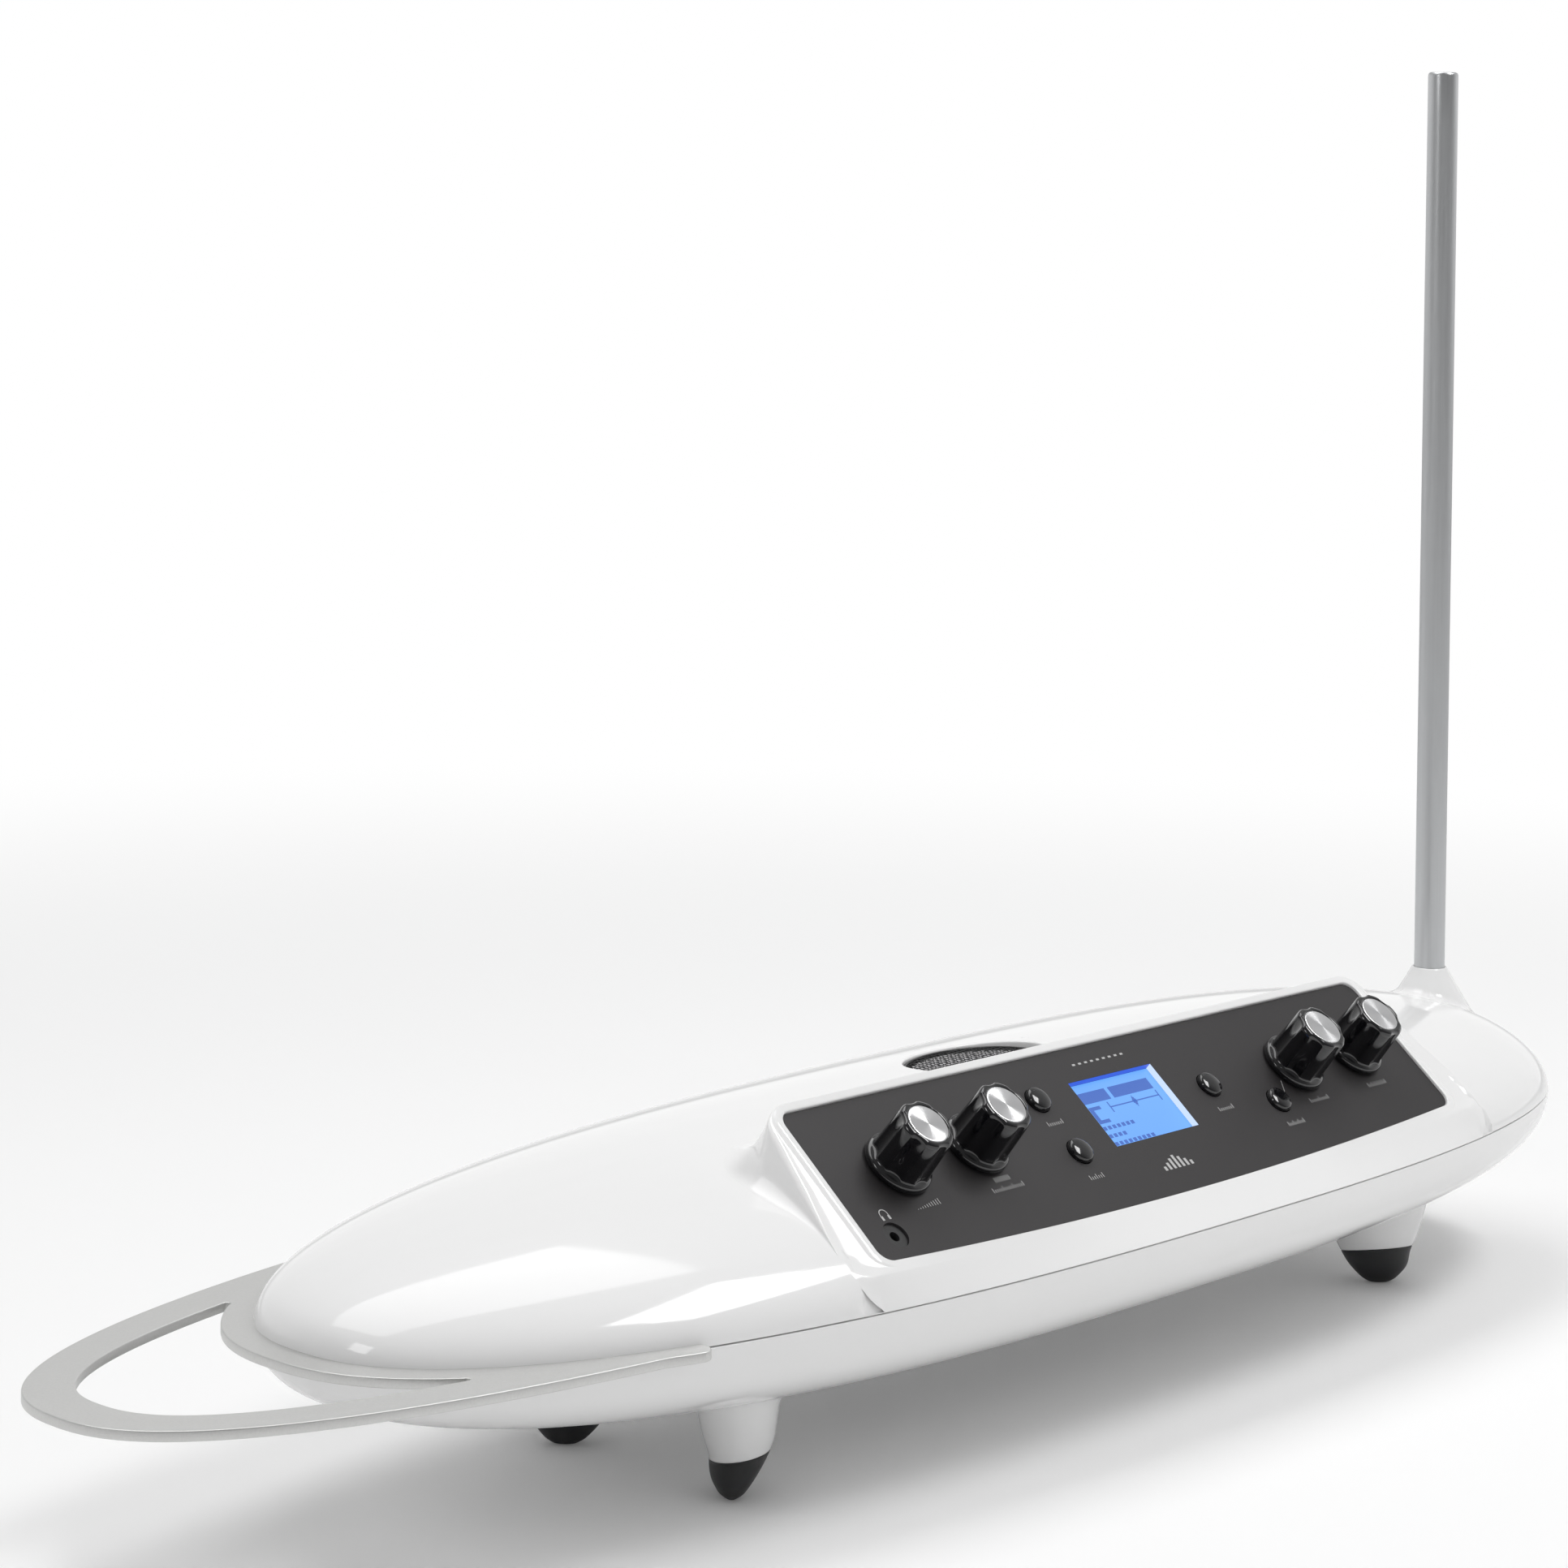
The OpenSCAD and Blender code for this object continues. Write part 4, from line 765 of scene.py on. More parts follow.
def lower_rows():
    """The lower half's grid. Back rows lie on chosen depths under the seam."""
    x = np.unique(np.concatenate([COLUMNS * reach(COLUMNS), [-WINDOW_W, WINDOW_W],
                                  np.linspace(-WINDOW_W, WINDOW_W, 61)]))
    rise = half_rise(x, DROP)
    scale = np.minimum(1, rise / half_rise(np.array([WINDOW_W]), DROP))
    safe = np.maximum(rise, 1e-6)

    def turn_at(depth):
        return np.arccos(np.clip(depth * scale / safe, 0, 1) ** (BACK_N / 2))

    t_low, t_top = turn_at(SEAM_Z - WINDOW_LOW), turn_at(SEAM_Z - WINDOW_TOP)
    end = np.full_like(x, math.pi / 2)
    step = lambda a, b, n: a[:, None] + (b - a)[:, None] * np.linspace(0, 1, n, endpoint=False)
    turn = np.concatenate([step(-end, 0 * end, 60), step(0 * end, t_low, 34),
                           step(t_low, t_top, 26), step(t_top, end, 8), end[:, None]], 1)
    y = half_depth(x)[:, None] * spow(np.sin(turn), 2 / BACK_N)
    z = -rise[:, None] * np.abs(np.cos(turn)) ** (2 / BACK_N)
    z = SEAM_Z + lift_edge(z, -1)
    points = np.stack([np.repeat(x[:, None], y.shape[1], 1), y, z], -1)
    return with_lips(points, x, -1), x


LIPS = 5
lower, lower_x = lower_rows()
row_low, row_top = LIPS + 94, LIPS + 120
col_a = int(np.argmin(np.abs(lower_x + WINDOW_W)))
col_b = int(np.argmin(np.abs(lower_x - WINDOW_W)))
high = (0, 0, 500)
window = lower[col_a:col_b + 1, row_low:row_top + 1]
lower_grids = [(lower[:col_a + 1], high), (lower[col_b:], high),
               (lower[col_a:col_b + 1, :row_low + 1], high),
               (lower[col_a:col_b + 1, row_top:], high)]


def reveal(edge):
    """A wall from the window's edge in the skin straight in to the socket plate."""
    inner = edge.copy()
    inner[:, 1] = WINDOW_Y
    shares = np.array([0, 0.05, 0.5, 1.0])[:, None, None]
    return edge[None] * (1 - shares) + inner[None] * shares


for edge, inside in ((window[:, 0], (0, 80, 0)), (window[:, -1], (0, 80, 200)),
                     (window[0], (-300, 80, 50)), (window[-1], (300, 80, 50))):
    lower_grids.append((reveal(edge), inside))


def plate_frame():
    """The flat ledge that the socket plate lies on, as a ring of two rectangles."""
    def rect(w, low, top):
        corners = np.array([[-w, low], [w, low], [w, top], [-w, top]])
        return np.stack([corners[:, 0], np.full(4, WINDOW_Y - 0.05), corners[:, 1]], -1)
    return np.stack([rect(WINDOW_W, WINDOW_LOW, WINDOW_TOP), rect(78, 40.2, 60.0)])


lower_grids.append((plate_frame(), (0, 0, 50), False, True))
piece("hull_bottom", lower_grids, WHITE, "chassis", ["lower_shell"], 50)

# %% [markdown]
# ## Feet
#
# Four fins stand on the diagonals. Each flares softly into the hull, and a black rubber tip
# closes it. The oval's two half axes follow smooth curves of the height.


# %% Legs and rubber tips
FOOT_X, FOOT_Y, TIP_Z = 177.0, 36.6, 13.0


def keel_z(x, y):
    """Height of the lower hull at a place."""
    share = np.clip(np.abs(y) / np.maximum(half_depth(x), 1e-6), 0, 1)
    return SEAM_Z - half_rise(x, DROP) * (1 - share**BACK_N) ** (1 / BACK_N)


FIN_Z = [0, 5.85, 13, 18, 23, 39]
FIN_A, FIN_B = [5.0, 10.4, 13.4, 15.6, 17.0, 20.5], [3.2, 6.8, 9.4, 11.2, 12.2, 14.6]
LEAN = [1.6, 1.0, -1.2, -1.4, -1.0, 0.0]


def oval(sx, sy, a, b, z, lean=0.0, count=96):
    """An oval turned to the diagonal at one foot, moved outwards by its lean."""
    t = np.linspace(0, 2 * math.pi, count, endpoint=False)
    turn = math.radians(45 * sx * sy)
    p, q = a * np.cos(t), b * np.sin(t)
    return np.stack([sx * (FOOT_X + lean) + p * math.cos(turn) - q * math.sin(turn),
                     sy * FOOT_Y + p * math.sin(turn) + q * math.cos(turn), z + 0 * t], -1)


def smooth_at(z, values):
    """A value between the listed heights, by a smooth cubic step."""
    z = np.asarray(z, float)
    i = np.clip(np.searchsorted(FIN_Z, z) - 1, 0, len(FIN_Z) - 2)
    low, high = np.array(FIN_Z)[i], np.array(FIN_Z)[i + 1]
    slope = np.gradient(values, FIN_Z)
    s, width = (z - low) / (high - low), high - low
    v = np.array(values)
    return (v[i] * (1 + 2 * s) * (1 - s) ** 2 + slope[i] * width * s * (1 - s) ** 2
            + v[i + 1] * s**2 * (3 - 2 * s) + slope[i + 1] * width * s**2 * (s - 1))


def fin_ring(sx, sy, z, shrink=0.0):
    """A ring round the fin at heights z, which may differ from place to place."""
    return oval(sx, sy, smooth_at(z, FIN_A) - shrink, smooth_at(z, FIN_B) - shrink, z,
                smooth_at(z, LEAN))


def joint_z(sx, sy):
    """Height of the rubber's edge round the foot: higher towards the front or the back."""
    ring = oval(sx, sy, 13.4, 9.4, 0.0)
    return TIP_Z + 0.2 * (ring[:, 1] - sy * FOOT_Y) * sy - 0.08 * (ring[:, 0] - sx * FOOT_X) * sx


def leg_rows(sx, sy):
    """From the rubber tip's edge up the fin, then out along the hull in a fillet."""
    low = joint_z(sx, sy)
    count = len(low)
    heights = np.linspace(14, 52, 120)
    rings = np.stack([fin_ring(sx, sy, np.full(count, z)) for z in heights])
    stop = np.argmax(rings[..., 2] >= keel_z(rings[..., 0], rings[..., 1]), axis=0)
    foot = rings[stop, np.arange(count)]
    top = heights[stop] - 3.6
    rows = [fin_ring(sx, sy, low + 0.05, 0.4)]
    rows += [fin_ring(sx, sy, low + 0.35 + (top - low - 0.35) * s) for s in np.linspace(0, 1, 26)]
    out = foot - [sx * FOOT_X, sy * FOOT_Y, 0]
    out[:, 2] = 0
    tail = foot + unit(out) * 2.6
    tail[:, 2] = keel_z(tail[:, 0], tail[:, 1]) + 0.03
    rows += [curve3(rows[-1], foot, tail, s) for s in np.linspace(0.1, 1, 10)]
    return np.stack(rows)


def tip_rows(sx, sy):
    """The rubber tip: a rounded keel that stands on a small flat oval."""
    high = joint_z(sx, sy)
    rows = [fin_ring(sx, sy, 0 * high, 4.9), fin_ring(sx, sy, 0 * high, 1.6)]
    rows[0][:, :2] = rows[0][:, :2].mean(axis=0)
    for s in np.linspace(0, 1, 30) ** 1.6:
        z = 0.06 + (high - 0.2) * s
        rows.append(fin_ring(sx, sy, z, 1.3 * np.maximum(1 - z / 2.2, 0) ** 2))
    rows.append(fin_ring(sx, sy, high - 0.02, 0.3))
    rows.append(fin_ring(sx, sy, high + 0.04, 1.6))
    return np.stack(rows)


leg_grids, tip_grids = [], []
for sx in (-1, 1):
    for sy in (-1, 1):
        middle = (sx * FOOT_X, sy * FOOT_Y, 20)
        leg_grids.append((leg_rows(sx, sy), middle, False, True))
        tip_grids.append((tip_rows(sx, sy), (middle[0], middle[1], 8), False, True))
piece("fins", leg_grids, WHITE, "chassis", ["legs"], 60)
piece("foot_tips", tip_grids, RUBBER, "chassis", ["foot_pads"], 70)

# %% [markdown]
# ## The volume loop
#
# One flat plate, cut out of sheet metal. Its outline is drawn as a closed curve with a hole,
# and a flat curve with a little thickness and a small bevel becomes the plate.


# %% Loop plate
LOOP_TIP, LOOP_HALF, LOOP_MID, LOOP_BAND = 413.4, 88.3, 38.2, 16.0
LOOP_STRIP, LOOP_END, LOOP_T = 10.5, 234.0, 3.0


def oval_y(x, middle, a, b):
    """Upper half of a superellipse over x."""
    n = PLAN_N[0]
    return b * np.clip(1 - np.clip(np.abs(x - middle) / a, 0, 1) ** n, 0, 1) ** (1 / n)


def strip_y(x):
    return oval_y(x, 0, HULL_LEFT + LOOP_STRIP, HALF_DEPTH + 0.75 * LOOP_STRIP)


def loop_lines():
    """The outer line and the hole's line, as closed lists of points."""
    a = LOOP_TIP - LOOP_MID
    swing = 0.5 - 0.5 * np.cos(np.linspace(0, math.pi, 220))
    x = -LOOP_TIP + (LOOP_TIP - LOOP_END) * swing
    x = np.concatenate([-LOOP_TIP + (LOOP_TIP - LOOP_END) * np.linspace(0, 1, 400)[:200] ** 2.2, x])
    x = np.unique(x)
    y = np.maximum(oval_y(x, -LOOP_MID, a, LOOP_HALF), strip_y(x))
    half = np.stack([x, y], 1)
    end_r = 5.0
    t = np.radians(np.linspace(90, 0, 12))
    half = half[half[:, 0] < -LOOP_END - end_r]
    top = half[-1, 1]
    corner = np.stack([-LOOP_END - end_r + end_r * np.cos(t), top - end_r + end_r * np.sin(t)], 1)
    under = np.array([[-LOOP_END, top - 12.0], [-LOOP_END - 30, top - 16], [-310.0, 20.0]])
    half = np.concatenate([half, corner, under])
    outer = np.concatenate([half, (half * [1, -1])[::-1]])

    inner_a, inner_b = a - LOOP_BAND, LOOP_HALF - LOOP_BAND
    x = -LOOP_MID - inner_a + np.linspace(0, 1, 400) ** 2.2 * (inner_a + LOOP_MID - LOOP_END)
    inner, strip = oval_y(x, -LOOP_MID, inner_a, inner_b), strip_y(x)
    open_to = np.where(inner - strip > 2.2)[0].max()
    far = np.stack([x[:open_to + 1], inner[:open_to + 1]], 1)
    span = x[open_to] + HULL_LEFT + LOOP_STRIP
    near_x = -HULL_LEFT - LOOP_STRIP + span * np.linspace(1, 0, 400) ** 2.2
    near = np.stack([near_x, strip_y(near_x)], 1)
    p, q = far[-1], near[0]
    middle, half_gap = (p + q) / 2, (p - q) / 2
    t = np.linspace(0, math.pi, 12)[1:-1]
    normal = np.array([half_gap[1], -half_gap[0]])
    if normal[0] < 0:
        normal = -normal
    cap = middle + np.cos(t)[:, None] * half_gap + np.sin(t)[:, None] * normal
    half = np.concatenate([far, cap, near])
    hole = np.concatenate([half, (half[1:-1] * [1, -1])[::-1]])
    return outer, hole


def plate(name, lines, middle_z, thickness, bevel, material, body, replaces):
    """A flat plate from closed lines: the first is the outline, the others are holes."""
    curve = bpy.data.curves.new(name, "CURVE")
    curve.dimensions, curve.fill_mode = "2D", "BOTH"
    curve.extrude = (thickness / 2 - bevel) / 1000
    curve.bevel_depth, curve.bevel_resolution, curve.offset = bevel / 1000, 2, -bevel / 1000
    for line in lines:
        spline = curve.splines.new("POLY")
        spline.points.add(len(line) - 1)
        flat = np.concatenate([(line + [MIDDLE_X, 0]) / 1000, np.zeros((len(line), 1)),
                               np.ones((len(line), 1))], 1)
        spline.points.foreach_set("co", flat.ravel())
        spline.use_cyclic_u = True
    holder = bpy.data.objects.new(name + "_line", curve)
    bpy.context.scene.collection.objects.link(holder)
    bpy.context.view_layer.update()
    mesh = bpy.data.meshes.new_from_object(holder.evaluated_get(bpy.context.evaluated_depsgraph_get()))
    bpy.data.objects.remove(holder)
    co = np.empty(len(mesh.vertices) * 3)
    mesh.vertices.foreach_get("co", co)
    co = co.reshape(-1, 3)
    co[:, 2] += middle_z / 1000
    mesh.vertices.foreach_set("co", co.ravel())
    mesh.polygons.foreach_set("use_smooth", np.ones(len(mesh.polygons), bool))
    mesh.update()
    mesh.set_sharp_from_angle(angle=math.radians(32))
    mesh.name = name
    mesh.materials.clear()
    mesh.materials.append(material)
    item = bpy.data.objects.new(name, mesh)
    bpy.context.scene.collection.objects.link(item)
    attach(item, body)
    if replaces:
        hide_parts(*replaces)
    print(f"{name}: {len(mesh.vertices)} points, {len(mesh.polygons)} faces")
    return item


plate("loop_plate", loop_lines(), SEAM_Z, LOOP_T, 0.35, LOOP_METAL, "chassis",
      ["volume_loop"])

# %% [markdown]
# ## Knobs
#
# A knob is a radius over an angle and a height: a round skirt, a grip with six shallow
# scoops whose edges are softened, and a rounded shoulder round the sunk metal disc.


# %% Knobs and discs
KNOBS = {"volume": (-124.8, 20.9), "correction": (-85.8, 20.9), "amount": (91.9, 20.9),
         "presets": (128.7, 20.1)}
KNOB_V, GRIP_R, SKIRT_R, DISC_R = 1.7, 10.2, 11.9, 7.35


def scoop(angle):
    """How far the six scoops cut in: circles of radius 7 round the grip, softly blended."""
    far, cutter, soft = GRIP_R + 7.0 - 1.0, 7.0, 0.16
    phi = (angle % (math.pi / 3)) - math.pi / 6
    cut = GRIP_R - far * np.cos(phi) + np.sqrt(np.maximum(cutter**2 - (far * np.sin(phi)) ** 2, 0))
    return 0.5 * (cut + np.sqrt(cut**2 + soft**2)) - 0.02


def knob_grid(top):
    """Rows of rings: inside the skirt, over the skirt, up the grip and over its edge."""
    t = np.linspace(0, 2 * math.pi, 240, endpoint=False)
    s, g = SKIRT_R, GRIP_R
    rows = [(s - 1.0, 0.7, 0.0), (s - 0.35, 0.62, 0.0), (s - 0.1, 0.75, 0.0), (s, 1.1, 0.0),
            (s, 2.0, 0.0), (s - 0.08, 2.5, 0.0), (s - 0.35, 2.95, 0.0), (s - 0.75, 3.2, 0.05),
            (g + 0.62, 3.32, 0.3), (g + 0.34, 3.6, 0.7), (g + 0.16, 4.1, 0.95), (g + 0.1, 4.8, 1.0)]
    rows += [(g + 0.1 - 0.55 * k, 4.8 + (top - 6.6) * k, 1.0) for k in np.linspace(0.1, 1, 8)]
    for turn in np.linspace(0, 90, 9)[1:]:
        a = math.radians(turn)
        rows.append((g - 0.45 - 1.5 * (1 - math.cos(a)), top - 1.8 + 1.7 * math.sin(a),
                     1.0 - 0.4 * turn / 90))
    rows += [(8.0, top - 0.1, 0.25), (7.6, top - 0.16, 0.0), (DISC_R + 0.04, top - 0.3, 0.0),
             (DISC_R + 0.04, top - 1.0, 0.0)]
    radius, height, share = (np.array(column)[:, None] for column in zip(*rows))
    r = radius - share * scoop(t)[None]
    z = height + 0 * t[None]
    return r * np.cos(t), r * np.sin(t), z


def spun_metal():
    """Spun aluminium: the highlight spreads across the fine circles of the cut."""
    finish = Finish("spun_disc", (0.78, 0.78, 0.79), 0.24, Metallic=1.0, Anisotropic=0.92)
    tangent = finish.node("ShaderNodeTangent", {"direction_type": "UV_MAP", "uv_map": "spin"})
    finish.set("Tangent", tangent)
    return finish.material


SPUN = spun_metal()


def disc_mesh(name, u, top, body, node):
    """A thin metal disc with rings and a UV map whose U runs round it."""
    radii = np.array([0.02, 1, 2.2, 3.6, 5, 6.2, 6.9, 7.2, 7.3, 7.34])
    drop = np.array([0, 0, 0, 0, 0, 0, 0, 0.02, 0.1, 0.5])
    count = 128
    t = np.linspace(0, 2 * math.pi, count + 1)
    r = radii[:, None]
    points = panel_point(u + r * np.cos(t), KNOB_V + r * np.sin(t), top - 0.22 - drop[:, None] + 0 * t)
    flat = (points.reshape(-1, 3) + [MIDDLE_X, 0, 0]) / 1000
    quads = cells(len(radii), count + 1)[:, ::-1]
    mesh = bpy.data.meshes.new(name)
    mesh.from_pydata(flat.tolist(), [], quads.tolist())
    layer = mesh.uv_layers.new(name="spin")
    uv = np.stack(np.broadcast_arrays(t[None] / (2 * math.pi), radii[:, None] / 8), -1).reshape(-1, 2)
    layer.uv.foreach_set("vector", uv[quads.ravel()].ravel())
    mesh.update()
    normal = np.array([p.normal[:] for p in mesh.polygons]).mean(axis=0)
    if normal[2] < 0:
        mesh.flip_normals()
    mesh.polygons.foreach_set("use_smooth", np.ones(len(mesh.polygons), bool))
    mesh.materials.append(SPUN)
    item = bpy.data.objects.new(name, mesh)
    bpy.context.scene.collection.objects.link(item)
    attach(item, body)
    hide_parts(node)
    return item


for kind, (u, top) in KNOBS.items():
    px, py, pz = knob_grid(top)
    grid = panel_point(u + px, KNOB_V + py, pz)
    centre = panel_point(u, KNOB_V, 5.0)
    piece(f"{kind}_cap", [(grid, centre, False, True)], GLOSS, f"{kind}_dial",
          [f"{kind}_knob"], 55)
    disc_mesh(f"{kind}_plate", u, top, f"{kind}_dial", f"{kind}_disc")

# %% [markdown]
# ## Push buttons
#
# Small glossy domes that stand in round holes.

# %% Buttons
BUTTONS = {"scale": (-42.9, 12.4), "root": (-41.7, -9.8), "setup": (42.7, 2.2),
           "effect": (70.8, -10.4)}
for kind, (u, v) in BUTTONS.items():
    rim = [(5.8, -3.75), (5.8, -2.76), (4.8, -2.75), (4.8, 0.9), (4.74, 1.2), (4.55, 1.5)]
    dome = [(4.55 * math.cos(a), 1.5 + 1.1 * math.sin(a)) for a in np.radians(np.linspace(8, 90, 16))]
    profile = lathe(rim + dome, 72)
    grid = panel_point(u + profile[..., 0], v + profile[..., 1], profile[..., 2])
    piece(f"{kind}_dome", [(grid, panel_point(u, v, -1.0), False, True)], GLOSS, f"{kind}_key",
          [f"{kind}_button"], 50)

# %% [markdown]
# ## Speaker grille
#
# A woven square mesh in black over light cloth. Each wire is a thin square tube cut off at
# the oval, and one set of wires waves over and under the other.


# %% Wire mesh and cloth
def wire_mesh(pitch=2.0, thick=0.3):
    """Two families of wires: a point list along each, and a small ring round each point."""
    z0 = SEAM_Z + RISE - 3.0
    grids = []
    for along, a, b in (("x", GRILLE_A, GRILLE_B), ("y", GRILLE_B, GRILLE_A)):
        for k in np.arange(-int(b / pitch), int(b / pitch) + 1):
            c = k * pitch
            half = a * math.sqrt(max(1 - (c / b) ** 2, 0)) - 0.1
            if half < 1:
                continue
            s = np.linspace(-half, half, max(int(half * 2 / pitch), 4))
            wave = 0.12 * np.cos(math.pi * s / pitch + math.pi * k)
            z = z0 + (wave if along == "x" else -wave)
            path = np.stack([s, c + 0 * s, z], -1) if along == "x" else np.stack([c + 0 * s, s, z], -1)
            side = np.array([0, 1, 0]) if along == "x" else np.array([1, 0, 0])
            corners = [(-0.5, 0), (0, 0.5), (0.5, 0), (0, -0.5)]
            tube = np.stack([path + side * p * thick + np.array([0, 0, q * thick]) for p, q in corners], 1)
            grids.append((tube + [0, GRILLE_Y, 0], None, False, True))
    return grids


def frame_ring():
    """The pressed rim round the mesh."""
    z0 = SEAM_Z + RISE - 3.0
    rows = [ring(GRILLE_A + g, GRILLE_B + g, z0 + h) for g, h in
            ((-0.9, -0.5), (-0.9, 0.25), (-0.7, 0.42), (-0.2, 0.42), (0.05, 0.25), (0.05, -0.5))]
    return np.stack(rows)


mesh_grids = wire_mesh() + [(frame_ring(), None, False, True)]
piece("grille_mesh", mesh_grids, BLACK_METAL, "chassis", ["speaker_grille"], 40)


def grey_cloth():
    """Light grey acoustic cloth: two crossed sets of fine threads."""
    finish = Finish("grille_cloth", (0.5, 0.5, 0.5), 0.9)
    weave = finish.node("ShaderNodeTexWave", {"bands_direction": "X"}, {
        "Vector": finish.place(), "Scale": 700.0, "Distortion": 0.3}, "Fac")
    weft = finish.node("ShaderNodeTexWave", {"bands_direction": "Y"}, {
        "Vector": finish.place(), "Scale": 700.0, "Distortion": 0.3}, "Fac")
    finish.set("Base Color", finish.mix(weave * weft, (0.62, 0.61, 0.62), (0.86, 0.85, 0.86)))
    finish.bump(weave + weft, 0.0001, 0.6)
    return finish.material


CLOTH = grey_cloth()

# %% [markdown]
# ## Display
#
# The display glows through a clear window. The walls of the opening glow too, with painted
# light that stands in for the light falling on them: deep blue above, nearly white on the
# right. The marks on the display are plain bars and a level meter, drawn as thin tiles.


# %% Glowing finishes and tiles
def glow(name, colour, strength, rough=0.4):
    """A surface that gives off its own light."""
    finish = Finish(name, (0.02, 0.02, 0.03), rough)
    finish.set("Emission Color", (*colour, 1))
    finish.set("Emission Strength", strength)
    return finish


def lcd_glow():
    """Blue backlight, a little paler in soft patches."""
    finish = glow("lcd_glow", (0.13, 0.38, 0.93), 1.0)
    soft = finish.noise(30.0, 1.0)
    finish.set("Emission Color", finish.mix(soft, (0.115, 0.36, 0.93), (0.17, 0.45, 0.98)))
    return finish.material


LCD = lcd_glow()
LCD_DARK = glow("lcd_dark", (0.035, 0.13, 0.52), 1.0).material
# Painted light: the window's walls glow deep blue, and pale on the right, in place of the light that falls on
# them.
PAINTED_GLOW_BLUE = glow("painted_glow_blue_wall", (0.02, 0.07, 0.62), 1.0).material
PAINTED_GLOW_PALE = glow("painted_glow_pale_wall", (0.62, 0.76, 1.0), 1.0).material
INK = Finish("white_ink", (0.50, 0.50, 0.50), 0.55)
INK.set("Roughness", 0.5 + INK.noise(900.0) * 0.1)
INK.bump(INK.noise(1500.0), 0.00001, 0.3)
INK = INK.material


def tiles(name, boxes, w, material):
    """Flat tiles on the panel: each is (u, v, width, height, slant) about its middle."""
    points, faces = [], []
    for u, v, width, height, *slant in boxes:
        lean = slant[0] if slant else 0.0
        n = len(points)
        for p, q in ((-1, -1), (1, -1), (1, 1), (-1, 1)):
            points.append(panel_point(u + p * width / 2 + lean * q / 2, v + q * height / 2, w))
        faces.append((n, n + 1, n + 2, n + 3))
    mesh = bpy.data.meshes.new(name)
    mesh.from_pydata(((np.array(points) + [MIDDLE_X, 0, 0]) / 1000).tolist(), [], faces)
    mesh.materials.append(material)
    mesh.update()
    item = bpy.data.objects.new(name, mesh)
    bpy.context.scene.collection.objects.link(item)
    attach(item, "chassis")
    print(f"{name}: {len(faces)} tiles")
    return item


# %% Display face, walls and marks
LCD_W, LCD_H, LCD_V = 45.8, 27.5, 2.3
FLOOR_W = -2.42
tiles("lcd_face", [(0, LCD_V, LCD_W - 0.2, LCD_H - 0.2)], FLOOR_W, LCD)

marks = [(-12.6, LCD_V + 7.9, 15.4, 4.6), (7.9, LCD_V + 7.9, 22.0, 4.6)]
marks += [(-18.4, LCD_V + 0.6, 2.0, 7.0), (-15.3, LCD_V + 3.4, 4.2, 1.4), (-15.3, LCD_V - 2.2, 4.2, 1.4)]
marks += [(5.2, LCD_V + 2.6, 27.0, 0.5), (-8.3, LCD_V + 2.6, 0.6, 4.4), (18.7, LCD_V + 2.6, 0.6, 4.4)]
marks += [(5.2 + k * 0.42, LCD_V + 2.6, 0.42, 4.6 - 1.5 * abs(k)) for k in (-2, -1, 0, 1, 2)]
for row, pattern in enumerate((7, 4, 9)):
    v = LCD_V - 4.9 - row * 3.3
    marks += [(-18.6 + k * 2.5, v, 1.7, 1.5) for k in range(pattern)]
tiles("lcd_marks", marks, FLOOR_W + 0.03, LCD_DARK)


def window_wall(name, ends, material):
    """One wall of the window's opening, from the panel's face down to the display."""
    (u0, v0), (u1, v1) = ends
    share = np.linspace(0, 1, 12)
    line = [panel_point(u0 + (u1 - u0) * share, v0 + (v1 - v0) * share, w) for w in (-0.05, -1.2, FLOOR_W)]
    centre = panel_point(2 * u0 - 0 if u0 == u1 else 0, LCD_V + (2 * (v0 - LCD_V) if v0 == v1 else 0), -1)
    return piece(name, [(np.stack(line), centre)], material, "chassis", [], 60)


left, right_u = -LCD_W / 2 + 0.05, LCD_W / 2 - 0.05
low_v, high_v = LCD_V - LCD_H / 2 + 0.05, LCD_V + LCD_H / 2 - 0.05
# The four walls glow with painted light: blue on three sides, pale on the right.
window_wall("window_top", ((left, high_v), (right_u, high_v)), PAINTED_GLOW_BLUE)
window_wall("window_right", ((right_u, low_v), (right_u, high_v)), PAINTED_GLOW_PALE)
window_wall("window_low", ((left, low_v), (right_u, low_v)), PAINTED_GLOW_BLUE)
window_wall("window_left", ((left, low_v), (left, high_v)), PAINTED_GLOW_BLUE)

# %% [markdown]
# ## Printing on the panel
#
# The printing is generic: ruler ticks stand by each control, short bars by the display, and
# the sign over the socket is a plain arch with two pads.


# %% Printed marks
def ticks(u, v, width, height, count, long_every=0):
    """A row of fine upright bars, every few of them taller."""
    out = []
    for k in range(count):
        tall = 1.0 if not long_every or k % long_every == 0 else 0.6
        x = u - width / 2 + width * k / (count - 1)
        out.append((x, v - height * (1 - tall) / 2, 0.28, height * tall))
    return out


prints = []
prints += [(-123 - 5.5 + k * 1.2, -13.8 - 1.0 + 0.11 * k, 0.3, 0.25 + 0.22 * k) for k in range(10)]
prints += ticks(-84.4, -11.9, 7.0, 1.9, 8) + ticks(-84.4, -15.4, 15.0, 1.9, 16, 5)
prints += ticks(-42.5, 2.9, 7.4, 1.9, 8, 7) + ticks(-42.5, -20.0, 6.6, 1.9, 7, 3)
prints += ticks(42.4, -7.7, 7.6, 1.9, 8, 7) + ticks(71.1, -20.1, 9.0, 1.9, 10, 3)
prints += ticks(92.2, -13.6, 10.4, 1.9, 11, 5) + ticks(128.4, -13.6, 10.4, 1.9, 11, 2)
prints += [(-0.5 + (k - 4) * 3.3, 22.4, 1.5, 0.75) for k in range(9)]
prints += [(79.0, -5.25, 0.3, 4.6, 2.6)]
